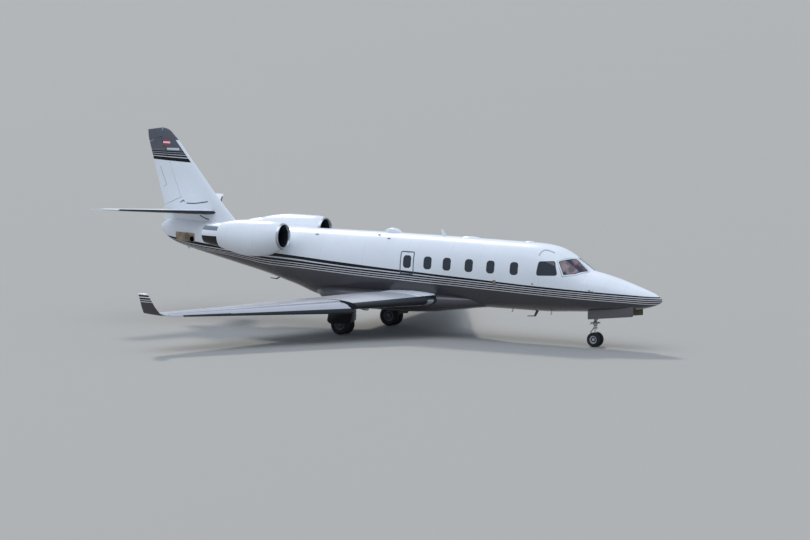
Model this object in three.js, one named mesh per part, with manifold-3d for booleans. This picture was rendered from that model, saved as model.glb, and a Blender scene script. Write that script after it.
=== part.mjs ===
// Twin-engined business jet, parked on its wheels. Millimetres, +X to the nose, +Y to port, +Z up,
// with the origin on the ground below the middle of its length.
import * as THREE from 'three';
import { mergeVertices } from 'three/addons/utils/BufferGeometryUtils.js';
import Module from 'manifold-3d';

const wasm = await Module();
wasm.setup();

// Driving dimensions
const GAP = 0.3; // between pieces that touch
const RUNNING_GAP = 8; // between pieces that move past each other
const FAR = 10000; // beyond the jet on every side
const WALL = 65; // fuselage wall with its frames and lining
const FUSELAGE_FULLNESS = 2.3; // exponent of the oval section
const FUSELAGE_SIDES = 28;
const FUSELAGE_TOP = 2846;
const SMALLEST_OVAL = 4; // half width of an oval that an inset has used up
const SIDES = [['left', 1], ['right', -1]];

// Fuselage sections: x, top z, bottom z, half width
const FUSELAGE = [
  [8470, 1412, 1392, 12],
  [8430, 1462, 1350, 62],
  [8340, 1527, 1290, 128],
  [8170, 1604, 1225, 222],
  [7870, 1703, 1146, 340],
  [7510, 1815, 1095, 440],
  [7000, 1964, 1040, 545],
  [6500, 2075, 998, 625],
  [6270, 2116, 980, 655],
  [5980, 2321, 962, 690],
  [5666, 2517, 945, 722],
  [5296, 2698, 920, 750],
  [5070, 2755, 908, 765],
  [4800, 2792, 902, 777],
  [4500, 2806, 900, 785],
  [0, FUSELAGE_TOP, 900, 785],
  [-2200, 2838, 900, 780],
  [-3200, 2829, 1176, 735],
  [-4200, 2826, 1449, 655],
  [-5200, 2830, 1668, 550],
  [-6200, 2840, 1880, 420],
  [-7000, 2850, 2056, 300],
  [-7500, 2860, 2200, 205],
  [-7800, 2870, 2366, 130],
  [-7950, 2880, 2500, 60],
];
const NOSE_SEAM_X = 6270;
const COCKPIT_SEAM_X = 4800;
const AFT_SEAM_X = -2200;
const TAIL_SEAM_X = -5850;
const CABIN_SPLIT_Z = 1600;
const BULKHEAD = 70;
const FLOOR = { z: 1080, thickness: 40, front: 5900 };
const NOSE_BAY = { rear: 6300, front: 7740, half: 290, roof: 1400 };
const AUXILIARY_EXHAUST = { x: -6723, z: 2320, radius: 80, solidBehind: -7000 };

// Cabin windows, centres along x; the port side has its door where the first would be
const WINDOW_X = [4199, 3449, 2756, 2046, 1424, 760];
const WINDOW = { width: 260, height: 360, radius: 95, z: 2120 };
const CABIN_DOOR = { x: 4380, width: 660, sill: FLOOR.z, height: 1370, radius: 120, opens: 125 };
const BAGGAGE_DOOR = { x: -2960, width: 680, sill: 1400, height: 560, radius: 90 };
const DOOR_GAP = 7;
const STEP = { count: 4, first: 250, rise: 270, length: 480, depth: 230, thickness: 26 };
const SIDE_CUT = { near: 280, far: 950 }; // reach of a cut through one side of the fuselage

// Windscreen corners: outer top, outer bottom, lower middle, inner bottom, inner top, upper middle
const WINDSCREEN = [
  [5500, 565, 2385],
  [5718, 678, 2010],
  [6020, 545, 2038],
  [6250, 180, 2105],
  [5815, 70, 2428],
  [5672, 360, 2412],
];
const SIDE_PANE = [[4940, 2362], [5412, 2388], [5556, 1992], [4898, 1962]];

// Panes sit a little below the skin, and an inner lining carries those of one side
const GLASS = {
  recess: 6,
  inner: WALL + 12,
  belt: 240,
  shelf: { rear: 4870, front: 6250, bottom: 1930, top: 2480 },
};

// Cabin seats: x, facing
const CABIN_SEATS = [[3450, -1], [2250, 1], [1350, 1], [300, 1]];
const CABIN_ROW = { y: 330, railHalf: 50, railTo: 3650 };
const CREW = { x: 4950, y: 300 };

// Instrument panel, pedestal and glare shield: x from, x to, half width, z from, z to
const PANEL = [
  [5620, 5780, 560, 1560, 1960],
  [5300, 5700, 110, FLOOR.z + GAP, 1700],
  [5600, 5860, 540, 1930, 1985],
];

// Dorsal antenna dome: x, half width, rise above the fuselage
const ANTENNA = [[-420, 40, 10], [-330, 80, 90], [-140, 95, 130], [30, 80, 100], [150, 40, 10]];

// Belly fairing sections: x, half width, bottom z, top z
const BELLY_FULLNESS = 2.6;
const BELLY_SIDES = 24;
const BELLY = [
  [3250, 300, 925, 1180],
  [2711, 600, 868, 1270],
  [2307, 740, 812, 1290],
  [1978, 800, 775, 1300],
  [1419, 850, 695, 1310],
  [294, 885, 640, 1320],
  [-1400, 890, 650, 1320],
  [-1780, 840, 690, 1310],
  [-2020, 760, 785, 1300],
  [-2250, 600, 905, 1290],
  [-2480, 400, 1010, 1270],
];

// Wing sections: span y, leading edge x, trailing edge x, leading z, trailing z, thickness ratio
const KINK_Y = 2950;
const TIP_Y = 8050;
const WING_INNER = [
  [560, 1930, -1745, 1085, 955, 0.118],
  [KINK_Y, 410, -2240, 1010, 985, 0.105],
];
const WING_OUTER = [
  [KINK_Y, 300, -2240, 1010, 985, 0.105],
  [TIP_Y, -2680, -3280, 1020, 1035, 0.085],
];
const CAMBER = 0.012;
const FOIL_STATIONS = [1, 0.86, 0.72, 0.55, 0.38, 0.24, 0.13, 0.06, 0.02, 0.004];

// Winglet sections: leading x, trailing x, y, leading z, trailing z, lean in degrees, thickness ratio, camber
const WINGLET = [
  [-2680, -3280, TIP_Y + GAP, 1020, 1035, 0, 0.085, CAMBER],
  [-2760, -3310, 8135, 1060, 1060, 40, 0.08, 0],
  [-2870, -3335, 8200, 1200, 1200, 64, 0.075, 0],
  [-3080, -3380, 8320, 1610, 1610, 64, 0.07, 0],
];

// Hinged surfaces by span and by the hinge line's share of the chord at each end
const FLAP = { spans: [1020, 5350], shares: [0.83, 0.735], endGap: 20 };
const AILERON = { spans: [5520, 7800], shares: [0.735, 0.72], endGap: 12 };
const ELEVATOR = { spans: [420, 3080], shares: [0.7, 0.66], endGap: 10 };
const SLAT = {
  from: 3000,
  to: 7900,
  chord: 0.15,
  under: 0.066,
  upper: [0.15, 0.11, 0.06, 0.02, 0.004],
  lower: [0.004, 0.02, 0.045],
  axisBack: 0.15,
  axisDown: 0.19,
  opens: 22,
};

// Chord share, side and share of the thickness, on the fixed nose behind a slat and on a slat's inner face
const FIXED_NOSE = [[0.168, 1, 1], [0.163, 1, 0.72], [0.115, 1, 0.6], [0.08, 1, 0.45], [0.058, 1, 0.2],
  [0.058, -1, 0.25], [0.066, -1, 0.55]];
const SLAT_INSIDE = [[0.15, 1, 0.93], [0.1, 1, 0.83], [0.055, 1, 0.66], [0.033, 1, 0.3], [0.033, -1, 0.35],
  [0.045, -1, 0.86]];
const GEAR_WELL = { rear: -1250, front: -440, inboard: 180, outboard: 225, roof: 990 };
const JACK = { x: 150, y: 2300, z: 880, radius: 60 };

// Tailplane sections: span y, leading x, trailing x, leading z, trailing z, thickness ratio
const TAILPLANE = [
  [0, -6015, -7560, 3102, 3092, 0.1],
  [3200, -7860, -8450, 3323, 3307, 0.09],
];

// Fin sections: leading edge x and z, trailing edge x and z, thickness
const FIN = [
  [-5300, 2780, -7905, 2800, 190],
  [-5800, 3290, -7845, 3290, 200],
  [-6149, 3669, -7955, 3669, 190],
  [-7436, 5188, -8412, 5200, 110],
  [-7640, 5370, -8462, 5370, 75],
  [-7800, 5505, -8470, 5430, 30],
];
const RUDDER = { from: 3480, to: 5230, finRows: [2, 3], hingeX: -7327, hingeSlope: 0.4073, endGap: 10 };
const BEACON = { x: -7959, from: 5400, to: 5540, radius: 32 };

// Engine cowl sections: x, centre z, radius
const COWL = [
  [-3070, 2663, 345],
  [-3087, 2662, 364],
  [-3135, 2658, 378],
  [-3340, 2627, 445],
  [-3580, 2582, 492],
  [-3960, 2558, 520],
  [-4290, 2559, 515],
  [-4620, 2569, 478],
  [-4940, 2582, 415],
  [-5130, 2587, 368],
];
const ENGINE_Y = 1170;
const ENGINE_Z = 2587;
const ENGINE_SIDES = 24;
const THROAT = { x: -3225, z: 2645, radius: 305 };
const FAN = { front: -3675, back: -3855, radius: 347, duct: 362 };
const BLADE = { count: 14, root: 95, chord: 120, thickness: 9, pitch: 38 };
const CORE = { radius: 300, back: -5120, plug: 130, plugMiddle: -5340, plugEnd: -5600 };
const NOZZLE = { front: -5132, back: -5700, frontRadius: 350, radius: 262, bore: 195 };
const PYLON = { x: -3590, chord: 1480, frontZ: 2500, backZ: 2560, from: 250, ratio: 0.105 };

// Undercarriage
const MAIN = { x: -970, y: 1385, radius: 292, width: 178, rim: 150, spacing: 125, axle: 28 };
const NOSE = { x: 6395, radius: 203, width: 112, rim: 105, spacing: 94, axle: 20 };
const WHEEL_SIDES = 20;

// Half of a tyre from its bead: share of the side's height, share of the half width
const TYRE = [[0, 0.72], [0.4, 1], [0.82, 0.86], [1, 0.48]];

// One end of an axle with its hub: share of the axle's radius, share of the rim's, and half widths outwards
// from the middle of the tyre
const HUB = [
  [1, 0, -0.72],
  [0, 1, -0.68],
  [0, 1, 0.68],
  [0, 0.9, 0.68],
  [0, 0.74, 0.3],
  [0, 0.4, 0.3],
  [0, 0, 0.7],
];
const MAIN_LEG = { pivotX: -610, pivotZ: 470, top: 989, strut: 62, half: 27, stay: 720 };
const TRAILING_ARM = [[-585, 400], [-575, 505], [-650, 520], [-990, 350], [-1000, 235], [-920, 225]];
const MAIN_DOOR = {
  y: 1640,
  thickness: 20,
  outline: [[-1331, 384], [-1241, 310], [-582, 352], [-450, 860], [-1240, 860]],
};
const NOSE_LEG = {
  collar: 580,
  bearing: 720,
  top: 1399,
  piston: 30,
  sleeve: 48,
  brace: { footZ: 860, headX: 7150, headZ: 1330 },
  trunnion: { z: 1250, half: 200 },
};

// Torque links of the nose leg, behind it: x and z from, x and z to
const TORQUE_LINKS = [[-40, 300, -150, 400], [-150, 400, -45, 530]];
const TOW_LUG = { from: 30, to: 95, half: 20 };
const NOSE_DOOR = { y: 296, thickness: 18, outline: [[6310, 783], [7720, 941], [7720, 1300], [6310, 1200]] };

const PAINT = {
  white: [0xe9edf2, 0.3, 0],
  taupe: [0x66646a, 0.4, 0],
  slate: [0x4a505c, 0.4, 0],
  metal: [0xb8b6b0, 0.35, 0.9],
  dark: [0x2a2c33, 0.5, 0.2],
  tyre: [0x1c1c1e, 0.85, 0],
  glass: [0x1e2630, 0.1, 0],
  leather: [0xb59f82, 0.6, 0],
  lining: [0x8f8a80, 0.8, 0],
};

const jet = new THREE.Group();

function point(x, y, z) {
  return new THREE.Vector3(x, y, z);
}

// Geometry to solid and back

function solidFrom(positions, index) {
  let volume = 0;
  const corner = (i) => point(positions[3 * i], positions[3 * i + 1], positions[3 * i + 2]);
  const triangles = [];
  for (let i = 0; i < index.length; i += 3) {
    const [a, b, c] = [index[i], index[i + 1], index[i + 2]];
    if (a === b || b === c || c === a) {
      continue;
    }
    triangles.push([a, b, c]);
    volume += corner(a).dot(corner(b).cross(corner(c)));
  }
  const ordered = triangles.map(([a, b, c]) => (volume < 0 ? [a, c, b] : [a, b, c]));
  const mesh = new wasm.Mesh({
    numProp: 3,
    vertProperties: Float32Array.from(positions),
    triVerts: Uint32Array.from(ordered.flat()),
  });
  return new wasm.Manifold(mesh);
}

function solid(geometry) {
  const bare = geometry.clone();
  bare.deleteAttribute('normal');
  bare.deleteAttribute('uv');
  const merged = mergeVertices(bare, 0.01);
  return solidFrom(merged.attributes.position.array, merged.index.array);
}

function geometryOf(piece) {
  const mesh = piece.getMesh();
  const geometry = new THREE.BufferGeometry();
  geometry.setAttribute('position', new THREE.BufferAttribute(mesh.vertProperties, 3));
  geometry.setIndex(new THREE.BufferAttribute(mesh.triVerts, 1));
  geometry.computeVertexNormals();
  return geometry;
}

function add(name, piece, paint) {
  const [color, roughness, metalness] = PAINT[paint];
  const material = new THREE.MeshStandardMaterial({ color, roughness, metalness });
  const mesh = new THREE.Mesh(geometryOf(piece), material);
  mesh.name = name;
  jet.add(mesh);
}

// Building blocks

function union(pieces) {
  return pieces.reduce((whole, piece) => whole.add(piece));
}

function cutAll(piece, cutters) {
  return cutters.reduce((left, cutter) => left.subtract(cutter), piece);
}

// A closed end over a ring, as a ladder between its first and second half
function capTriangles(count, first, reverse) {
  const triangles = [];
  for (let k = 0; k + 1 < count - 1 - k; k += 1) {
    const far = count - 1 - k;
    triangles.push([k, k + 1, far]);
    if (k + 1 < far - 1) {
      triangles.push([k + 1, far - 1, far]);
    }
  }
  const ordered = triangles.map(([a, b, c]) => (reverse ? [a, c, b] : [a, b, c]));
  return ordered.flat().map((corner) => first + corner);
}

function loft(rings) {
  const count = rings[0].length;
  const positions = rings.flat().flatMap((p) => [p.x, p.y, p.z]);
  const index = [];
  for (let row = 0; row < rings.length - 1; row += 1) {
    for (let k = 0; k < count; k += 1) {
      const a = row * count + k;
      const b = row * count + ((k + 1) % count);
      index.push(a, b, a + count, b, b + count, a + count);
    }
  }
  const last = rings.length - 1;
  index.push(...capTriangles(count, 0, true));
  index.push(...capTriangles(count, last * count, false));
  return solidFrom(positions, index);
}

function block(x0, x1, y0, y1, z0, z1) {
  const geometry = new THREE.BoxGeometry(x1 - x0, y1 - y0, z1 - z0);
  geometry.translate((x0 + x1) / 2, (y0 + y1) / 2, (z0 + z1) / 2);
  return solid(geometry);
}

// A round bar between two points
function bar(from, to, radius, sides = 12) {
  const along = to.clone().sub(from);
  const geometry = new THREE.CylinderGeometry(radius, radius, along.length(), sides);
  const turn = new THREE.Quaternion().setFromUnitVectors(point(0, 1, 0), along.clone().normalize());
  geometry.applyQuaternion(turn);
  geometry.translate(...from.clone().add(to).multiplyScalar(0.5).toArray());
  return solid(geometry);
}

// An outline in x and z, carried along y
function sidePrism(shape, y0, y1) {
  const extrude = new THREE.ExtrudeGeometry(shape, { depth: y1 - y0, bevelEnabled: false, curveSegments: 2 });
  const place = extrude.attributes.position;
  for (let i = 0; i < place.count; i += 1) {
    place.setXYZ(i, place.getX(i), y0 + place.getZ(i), place.getY(i));
  }
  return solid(extrude);
}

function roundedOutline(x, z, width, height, radius) {
  const shape = new THREE.Shape();
  const right = x + width / 2;
  const left = x - width / 2;
  const top = z + height / 2;
  const bottom = z - height / 2;
  shape.absarc(right - radius, top - radius, radius, 0, Math.PI / 2);
  shape.absarc(left + radius, top - radius, radius, Math.PI / 2, Math.PI);
  shape.absarc(left + radius, bottom + radius, radius, Math.PI, 1.5 * Math.PI);
  shape.absarc(right - radius, bottom + radius, radius, 1.5 * Math.PI, 2 * Math.PI);
  return shape;
}

function polygon(corners) {
  return new THREE.Shape(corners.map(([x, z]) => new THREE.Vector2(x, z)));
}

// Straight-line value of a table, whose first column is the place
function rowAt(table, place) {
  const upward = table[0][0] < table[1][0];
  const rows = upward ? table : [...table].reverse();
  let k = rows.findIndex((row) => row[0] >= place);
  k = Math.min(Math.max(k < 0 ? rows.length - 1 : k, 1), rows.length - 1);
  const [low, high] = [rows[k - 1], rows[k]];
  const share = (place - low[0]) / (high[0] - low[0]);
  return low.map((value, column) => value + share * (high[column] - value));
}

function ovalRing(x, halfWidth, top, bottom, fullness, sides) {
  const middle = (top + bottom) / 2;
  const halfHeight = (top - bottom) / 2;
  return Array.from({ length: sides }, (_, k) => {
    const angle = (2 * Math.PI * (k + 0.5)) / sides;
    const across = Math.sign(Math.cos(angle)) * Math.abs(Math.cos(angle)) ** (2 / fullness);
    const up = Math.sign(Math.sin(angle)) * Math.abs(Math.sin(angle)) ** (2 / fullness);
    return point(x, halfWidth * across, middle + halfHeight * up);
  });
}

// Half width of the fuselage at a height
function fuselageHalfWidth(x, z) {
  const [, top, bottom, half] = rowAt(FUSELAGE, x);
  const rise = Math.abs(z - (top + bottom) / 2) / ((top - bottom) / 2);
  return half * (1 - rise ** FUSELAGE_FULLNESS) ** (1 / FUSELAGE_FULLNESS);
}

// The whole fuselage drawn in by an inset, kept so that every cut of it has the same facets
const fuselages = new Map();

function wholeFuselage(inset) {
  if (!fuselages.has(inset)) {
    const rings = FUSELAGE.map(([x, top, bottom, half]) => {
      const middle = (top + bottom) / 2;
      const tall = Math.max((top - bottom) / 2 - inset, SMALLEST_OVAL);
      const wide = Math.max(half - inset, SMALLEST_OVAL);
      return ovalRing(x, wide, middle + tall, middle - tall, FUSELAGE_FULLNESS, FUSELAGE_SIDES);
    });
    fuselages.set(inset, loft(rings));
  }
  return fuselages.get(inset);
}

// The fuselage between two stations
function fuselage(inset, rear, front) {
  return wholeFuselage(inset).intersect(block(rear, front, -FAR, FAR, -FAR, FAR));
}

const WHOLE_FUSELAGE = wholeFuselage(-GAP);

// Wings and tail surfaces

function halfThickness(u) {
  const curve = 0.2969 * Math.sqrt(u) - 0.126 * u - 0.3516 * u ** 2 + 0.2843 * u ** 3 - 0.1036 * u ** 4;
  return 5 * curve + 0.02 * u;
}

// A point of an aerofoil: u along the chord, side 1 above and -1 below, share of the full thickness
function foilPoint(section, u, side, share = 1) {
  const { le, te, up, ratio, camber, grow } = section;
  const chord = te.clone().sub(le);
  const length = chord.length();
  const rise = length * (4 * camber * u * (1 - u) + side * share * ratio * halfThickness(u));
  return le.clone().addScaledVector(chord, u).addScaledVector(up, rise + side * grow);
}

function foilRing(section) {
  const upper = FOIL_STATIONS.map((u) => foilPoint(section, u, 1));
  const lower = [...FOIL_STATIONS].reverse().map((u) => foilPoint(section, u, -1));
  return [...upper, ...lower];
}

// A section of a table with the columns: span, leading x, trailing x, leading z, trailing z, ratio
function sectionAt(table, span, side, camber, grow = 0) {
  const [, leX, teX, leZ, teZ, ratio] = rowAt(table, span);
  const y = side * span;
  return {
    le: point(leX + grow, y, leZ),
    te: point(teX - grow, y, teZ),
    up: point(0, 0, 1),
    ratio,
    camber,
    grow,
  };
}

function panel(table, side, camber, grow = 0) {
  return loft(table.map(([span]) => foilRing(sectionAt(table, span, side, camber, grow))));
}

const EDGE = 3; // half thickness of a trailing edge

// A hinged surface: at each end a hinge point, its trailing edge and the radius of its round nose
function hingedSurface(ends, up, endGap) {
  const axis = ends[1].hinge.clone().sub(ends[0].hinge).normalize();
  const flapRing = ({ hinge, trailing, radius }) => {
    const back = trailing.clone().sub(hinge).normalize();
    const nose = Array.from({ length: 9 }, (_, k) => {
      const angle = (Math.PI * k) / 8;
      return hinge.clone().addScaledVector(up, radius * Math.cos(angle))
        .addScaledVector(back, -radius * Math.sin(angle));
    });
    return [
      trailing.clone().addScaledVector(up, EDGE),
      ...nose,
      trailing.clone().addScaledVector(up, -EDGE),
    ];
  };
  const bayRing = ({ hinge, trailing, radius }, shift) => {
    const back = trailing.clone().sub(hinge).normalize();
    const front = hinge.clone().addScaledVector(back, -radius - RUNNING_GAP).addScaledVector(axis, shift);
    const rear = trailing.clone().addScaledVector(back, 150).addScaledVector(axis, shift);
    const tall = 4 * radius + 60;
    return [[front, 1], [rear, 1], [rear, -1], [front, -1]]
      .map(([p, way]) => p.clone().addScaledVector(up, way * tall));
  };
  return {
    surface: loft(ends.map(flapRing)),
    bay: loft([bayRing(ends[0], -endGap), bayRing(ends[1], endGap)]),
  };
}

// The two ends of a surface hinged on a wing, square to its hinge line
function wingEnds(sectionOf, trailingLine, spans, hingeShares) {
  const hinges = spans.map((span, k) => {
    const section = sectionOf(span);
    const u = hingeShares[k];
    const upper = foilPoint(section, u, 1);
    const lower = foilPoint(section, u, -1);
    return { hinge: upper.clone().lerp(lower, 0.5), radius: upper.distanceTo(lower) / 2 };
  });
  const axis = hinges[1].hinge.clone().sub(hinges[0].hinge).normalize();
  const back = axis.clone().cross(point(0, 0, 1)).normalize();
  if (back.x > 0) {
    back.negate();
  }
  const [from, to] = trailingLine;
  const slope = (to.x - from.x) / (to.y - from.y);
  return hinges.map(({ hinge, radius }) => {
    const reach = (from.x + slope * (hinge.y - from.y) - hinge.x) / (back.x - slope * back.y);
    const trailing = hinge.clone().addScaledVector(back, reach);
    const share = (trailing.y - from.y) / (to.y - from.y);
    trailing.z = from.z + share * (to.z - from.z);
    return { hinge, radius, trailing };
  });
}

function ringAround(center, radius, sides) {
  return Array.from({ length: sides }, (_, k) => {
    const angle = (2 * Math.PI * (k + 0.5)) / sides;
    return point(center.x, center.y + radius * Math.cos(angle), center.z + radius * Math.sin(angle));
  });
}

// Fuselage pieces

// The near and far distance from the centre plane on one side, in rising order
function onSide(side, near, far) {
  return [side * near, side * far].sort((a, b) => a - b);
}

function windowCutter(x, side, shrink) {
  const { z, width, height, radius } = WINDOW;
  const outline = roundedOutline(x, z, width - 2 * shrink, height - 2 * shrink, radius - shrink);
  return sidePrism(outline, ...onSide(side, SIDE_CUT.near, SIDE_CUT.far));
}

function sideWindows(side) {
  return side > 0 ? WINDOW_X.slice(1) : WINDOW_X;
}

function doorPrism({ x, width, sill, height, radius }, shrink) {
  const z = sill + height / 2;
  const outline = roundedOutline(x, z, width - 2 * shrink, height - 2 * shrink, radius - shrink);
  return sidePrism(outline, SIDE_CUT.near, SIDE_CUT.far);
}

function windscreenCutter(side, shrink) {
  const corners = WINDSCREEN.map(([x, y, z]) => point(x, side * y, z));
  const middle = corners.reduce((sum, p) => sum.add(p), point(0, 0, 0)).multiplyScalar(1 / corners.length);
  const [outerTop, outerBottom, , innerBottom, innerTop] = corners;
  const out = innerBottom.clone().sub(outerTop).cross(innerTop.clone().sub(outerBottom)).normalize();
  if (out.x < 0) {
    out.negate();
  }
  const drawn = corners.map((p) => p.clone().addScaledVector(middle.clone().sub(p).normalize(), shrink));
  const depth = 190;
  return loft([-depth, depth].map((reach) => drawn.map((p) => p.clone().addScaledVector(out, reach))));
}

function sidePaneCutter(side, shrink) {
  const middleX = SIDE_PANE.reduce((sum, [x]) => sum + x, 0) / SIDE_PANE.length;
  const middleZ = SIDE_PANE.reduce((sum, [, z]) => sum + z, 0) / SIDE_PANE.length;
  const outline = polygon(SIDE_PANE.map(([x, z]) => [
    x + Math.sign(middleX - x) * shrink,
    z + Math.sign(middleZ - z) * shrink,
  ]));
  return sidePrism(outline, ...onSide(side, SIDE_CUT.near, SIDE_CUT.far));
}

// The wall of the fuselage between two stations, open at both ends
function shell(rear, front) {
  return fuselage(0, rear, front).subtract(fuselage(WALL, rear - 100, front + 100));
}

function makeNose() {
  const { rear, front, half, roof } = NOSE_BAY;
  const nose = fuselage(0, NOSE_SEAM_X + GAP, FUSELAGE[0][0]);
  add('nose_section', nose.subtract(block(rear, front, -half, half, 0, roof)), 'white');
}

function makeCockpit() {
  const panes = SIDES.flatMap(([, side]) => [windscreenCutter(side, 0), sidePaneCutter(side, 0)]);
  add('cockpit_shell', cutAll(shell(COCKPIT_SEAM_X + GAP, NOSE_SEAM_X), panes), 'white');
}

function makeCabin() {
  const windows = SIDES.flatMap(([, side]) => sideWindows(side).map((x) => windowCutter(x, side, 0)));
  const cabin = cutAll(shell(AFT_SEAM_X + GAP, COCKPIT_SEAM_X), [...windows, doorPrism(CABIN_DOOR, 0)]);
  add('cabin_shell_upper', cabin.intersect(block(-FAR, FAR, -FAR, FAR, CABIN_SPLIT_Z + GAP, FAR)), 'white');
  add('cabin_shell_lower', cabin.intersect(block(-FAR, FAR, -FAR, FAR, -FAR, CABIN_SPLIT_Z)), 'taupe');

  const inside = fuselage(WALL + GAP, AFT_SEAM_X + 10, FLOOR.front);
  const slab = block(-FAR, FAR, -FAR, FAR, FLOOR.z - FLOOR.thickness, FLOOR.z);
  add('cabin_floor', inside.intersect(slab), 'lining');
}

function makeAft() {
  const hollow = fuselage(WALL, TAIL_SEAM_X - 100, AFT_SEAM_X - BULKHEAD);
  const aft = fuselage(0, TAIL_SEAM_X + GAP, AFT_SEAM_X).subtract(hollow);
  add('aft_section', aft.subtract(doorPrism(BAGGAGE_DOOR, 0)), 'white');

  const { x, z, radius, solidBehind } = AUXILIARY_EXHAUST;
  const coneHollow = fuselage(WALL, solidBehind, TAIL_SEAM_X + 100);
  const exhaust = bar(point(x, -100, z), point(x, -600, z), radius, 16);
  const cone = fuselage(0, FUSELAGE[FUSELAGE.length - 1][0], TAIL_SEAM_X);
  add('tail_cone', cutAll(cone, [coneHollow, exhaust]), 'white');
}

function bellySolid(grow) {
  return loft(BELLY.map(([x, half, bottom, top]) => (
    ovalRing(x, half + grow, top + grow, bottom - grow, BELLY_FULLNESS, BELLY_SIDES)
  )));
}

function makeGlass() {
  const { recess, inner, belt, shelf } = GLASS;
  const skin = (from) => fuselage(from, -FAR, FAR).subtract(fuselage(inner, -FAR, FAR));
  const panes = skin(recess);
  const lining = skin(WALL + GAP);
  for (const [name, side] of SIDES) {
    const places = sideWindows(side);
    const plugs = places.map((x) => panes.intersect(windowCutter(x, side, GAP)));
    const carrier = lining.intersect(block(
      places[places.length - 1] - belt,
      places[0] + belt,
      ...onSide(side, SIDE_CUT.near, SIDE_CUT.far),
      WINDOW.z - belt,
      WINDOW.z + belt,
    ));
    add(`cabin_windows_${name}`, union([carrier, ...plugs]), 'glass');
  }
  const cutters = SIDES.flatMap(([, side]) => [windscreenCutter(side, GAP), sidePaneCutter(side, GAP)]);
  const glazing = cutters.map((cutter) => panes.intersect(cutter));
  const frame = lining.intersect(block(shelf.rear, shelf.front, -FAR, FAR, shelf.bottom, shelf.top));
  add('cockpit_windows', union([frame, ...glazing]), 'glass');
}

function makeDoors() {
  const { count, first, rise, length, depth, thickness } = STEP;
  const steps = Array.from({ length: count }, (_, k) => {
    const geometry = new THREE.BoxGeometry(length, depth, thickness);
    geometry.translate(0, 10 - depth / 2, 0);
    geometry.rotateX(THREE.MathUtils.degToRad(CABIN_DOOR.opens - 180));
    const z = CABIN_DOOR.sill + first + rise * k;
    geometry.translate(CABIN_DOOR.x, fuselageHalfWidth(CABIN_DOOR.x, z) - WALL / 2, z);
    return solid(geometry);
  });
  const treads = union(steps).intersect(wholeFuselage(WALL / 3));
  const wall = shell(-5000, COCKPIT_SEAM_X);
  add('cabin_door', wall.intersect(doorPrism(CABIN_DOOR, DOOR_GAP)).add(treads), 'white');
  add('baggage_door', wall.intersect(doorPrism(BAGGAGE_DOOR, DOOR_GAP)), 'white');
}

function makeAntenna() {
  const foot = FUSELAGE_TOP - WALL;
  const rings = ANTENNA.map(([x, half, rise]) => ovalRing(x, half, FUSELAGE_TOP + rise, foot, 2.2, 16));
  add('antenna_dome', loft(rings).subtract(WHOLE_FUSELAGE), 'white');
}

// Cabin fittings

// A seat on its base: each row is x from, x to, half width, z from, z to, with x towards the knees
const SEAT = [
  [-200, 200, 70, 20, 240],
  [-260, 260, 215, 230, 420],
  [-340, -190, 205, 300, 1000],
];

function seat(x, y, facing) {
  return union(SEAT.map(([from, to, half, bottom, top]) => block(
    Math.min(x + facing * from, x + facing * to),
    Math.max(x + facing * from, x + facing * to),
    y - half,
    y + half,
    FLOOR.z + bottom,
    FLOOR.z + top,
  )));
}

function rail(x0, x1, y0, y1) {
  return block(x0, x1, y0, y1, FLOOR.z + GAP, FLOOR.z + 30);
}

function makeInterior() {
  const { y: seatY, railHalf, railTo } = CABIN_ROW;
  for (const [name, side] of SIDES) {
    const y = side * seatY;
    const seats = CABIN_SEATS.map(([x, facing]) => seat(x, y, facing));
    add(`cabin_seats_${name}`, union([rail(0, railTo, y - railHalf, y + railHalf), ...seats]), 'leather');
  }
  const crew = SIDES.map(([, side]) => seat(CREW.x, side * CREW.y, 1));
  const crewRail = rail(CREW.x - 130, CREW.x + 200, -CREW.y - 50, CREW.y + 50);
  add('cockpit_seats', union([crewRail, ...crew]), 'leather');
  const board = union(PANEL.map(([x0, x1, half, z0, z1]) => block(x0, x1, -half, half, z0, z1)));
  add('instrument_panel', board.intersect(fuselage(WALL + 25, COCKPIT_SEAM_X, NOSE_SEAM_X)), 'dark');
}

// Wings

function wingSection(side) {
  return (span) => sectionAt(span >= KINK_Y ? WING_OUTER : WING_INNER, span, side, CAMBER);
}

function recessedRing(section) {
  const behind = (share) => FOIL_STATIONS.filter((u) => u > share);
  const upper = behind(SLAT.chord).map((u) => foilPoint(section, u, 1));
  const lower = behind(SLAT.under).reverse().map((u) => foilPoint(section, u, -1));
  const nose = FIXED_NOSE.map(([u, side, share]) => foilPoint(section, u, side, share));
  return [...upper, ...nose, ...lower];
}

function slatRing(section) {
  const outside = SLAT.upper.map((u) => foilPoint(section, u, 1));
  const under = SLAT.lower.map((u) => foilPoint(section, u, -1));
  const inside = SLAT_INSIDE.map(([u, side, share]) => foilPoint(section, u, side, share));
  return [...outside, ...under, ...inside.reverse()];
}

// The line that a slat swings about, below and behind the leading edge
function slatAxis(side) {
  const ends = [SLAT.from, SLAT.to].map((span) => {
    const section = wingSection(side)(span);
    const chord = section.te.distanceTo(section.le);
    return section.le.clone().add(point(-SLAT.axisBack * chord, 0, -SLAT.axisDown * chord));
  });
  return { origin: ends[0], direction: ends[1].clone().sub(ends[0]).normalize() };
}

function turned(points, origin, direction, degrees) {
  const turn = new THREE.Quaternion().setFromAxisAngle(direction, THREE.MathUtils.degToRad(degrees));
  return points.map((p) => p.clone().sub(origin).applyQuaternion(turn).add(origin));
}

function makeSlat(name, side) {
  const { origin, direction } = slatAxis(side);
  const rings = [SLAT.from, SLAT.to]
    .map((span) => turned(slatRing(wingSection(side)(span)), origin, direction, side * SLAT.opens));
  add(`slat_${name}`, loft(rings), 'slate');
}

function wingTrailingLine(side) {
  const line = [WING_INNER[0], WING_OUTER[1]];
  return line.map(([span, , teX, , teZ]) => point(teX, side * span, teZ));
}

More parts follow.
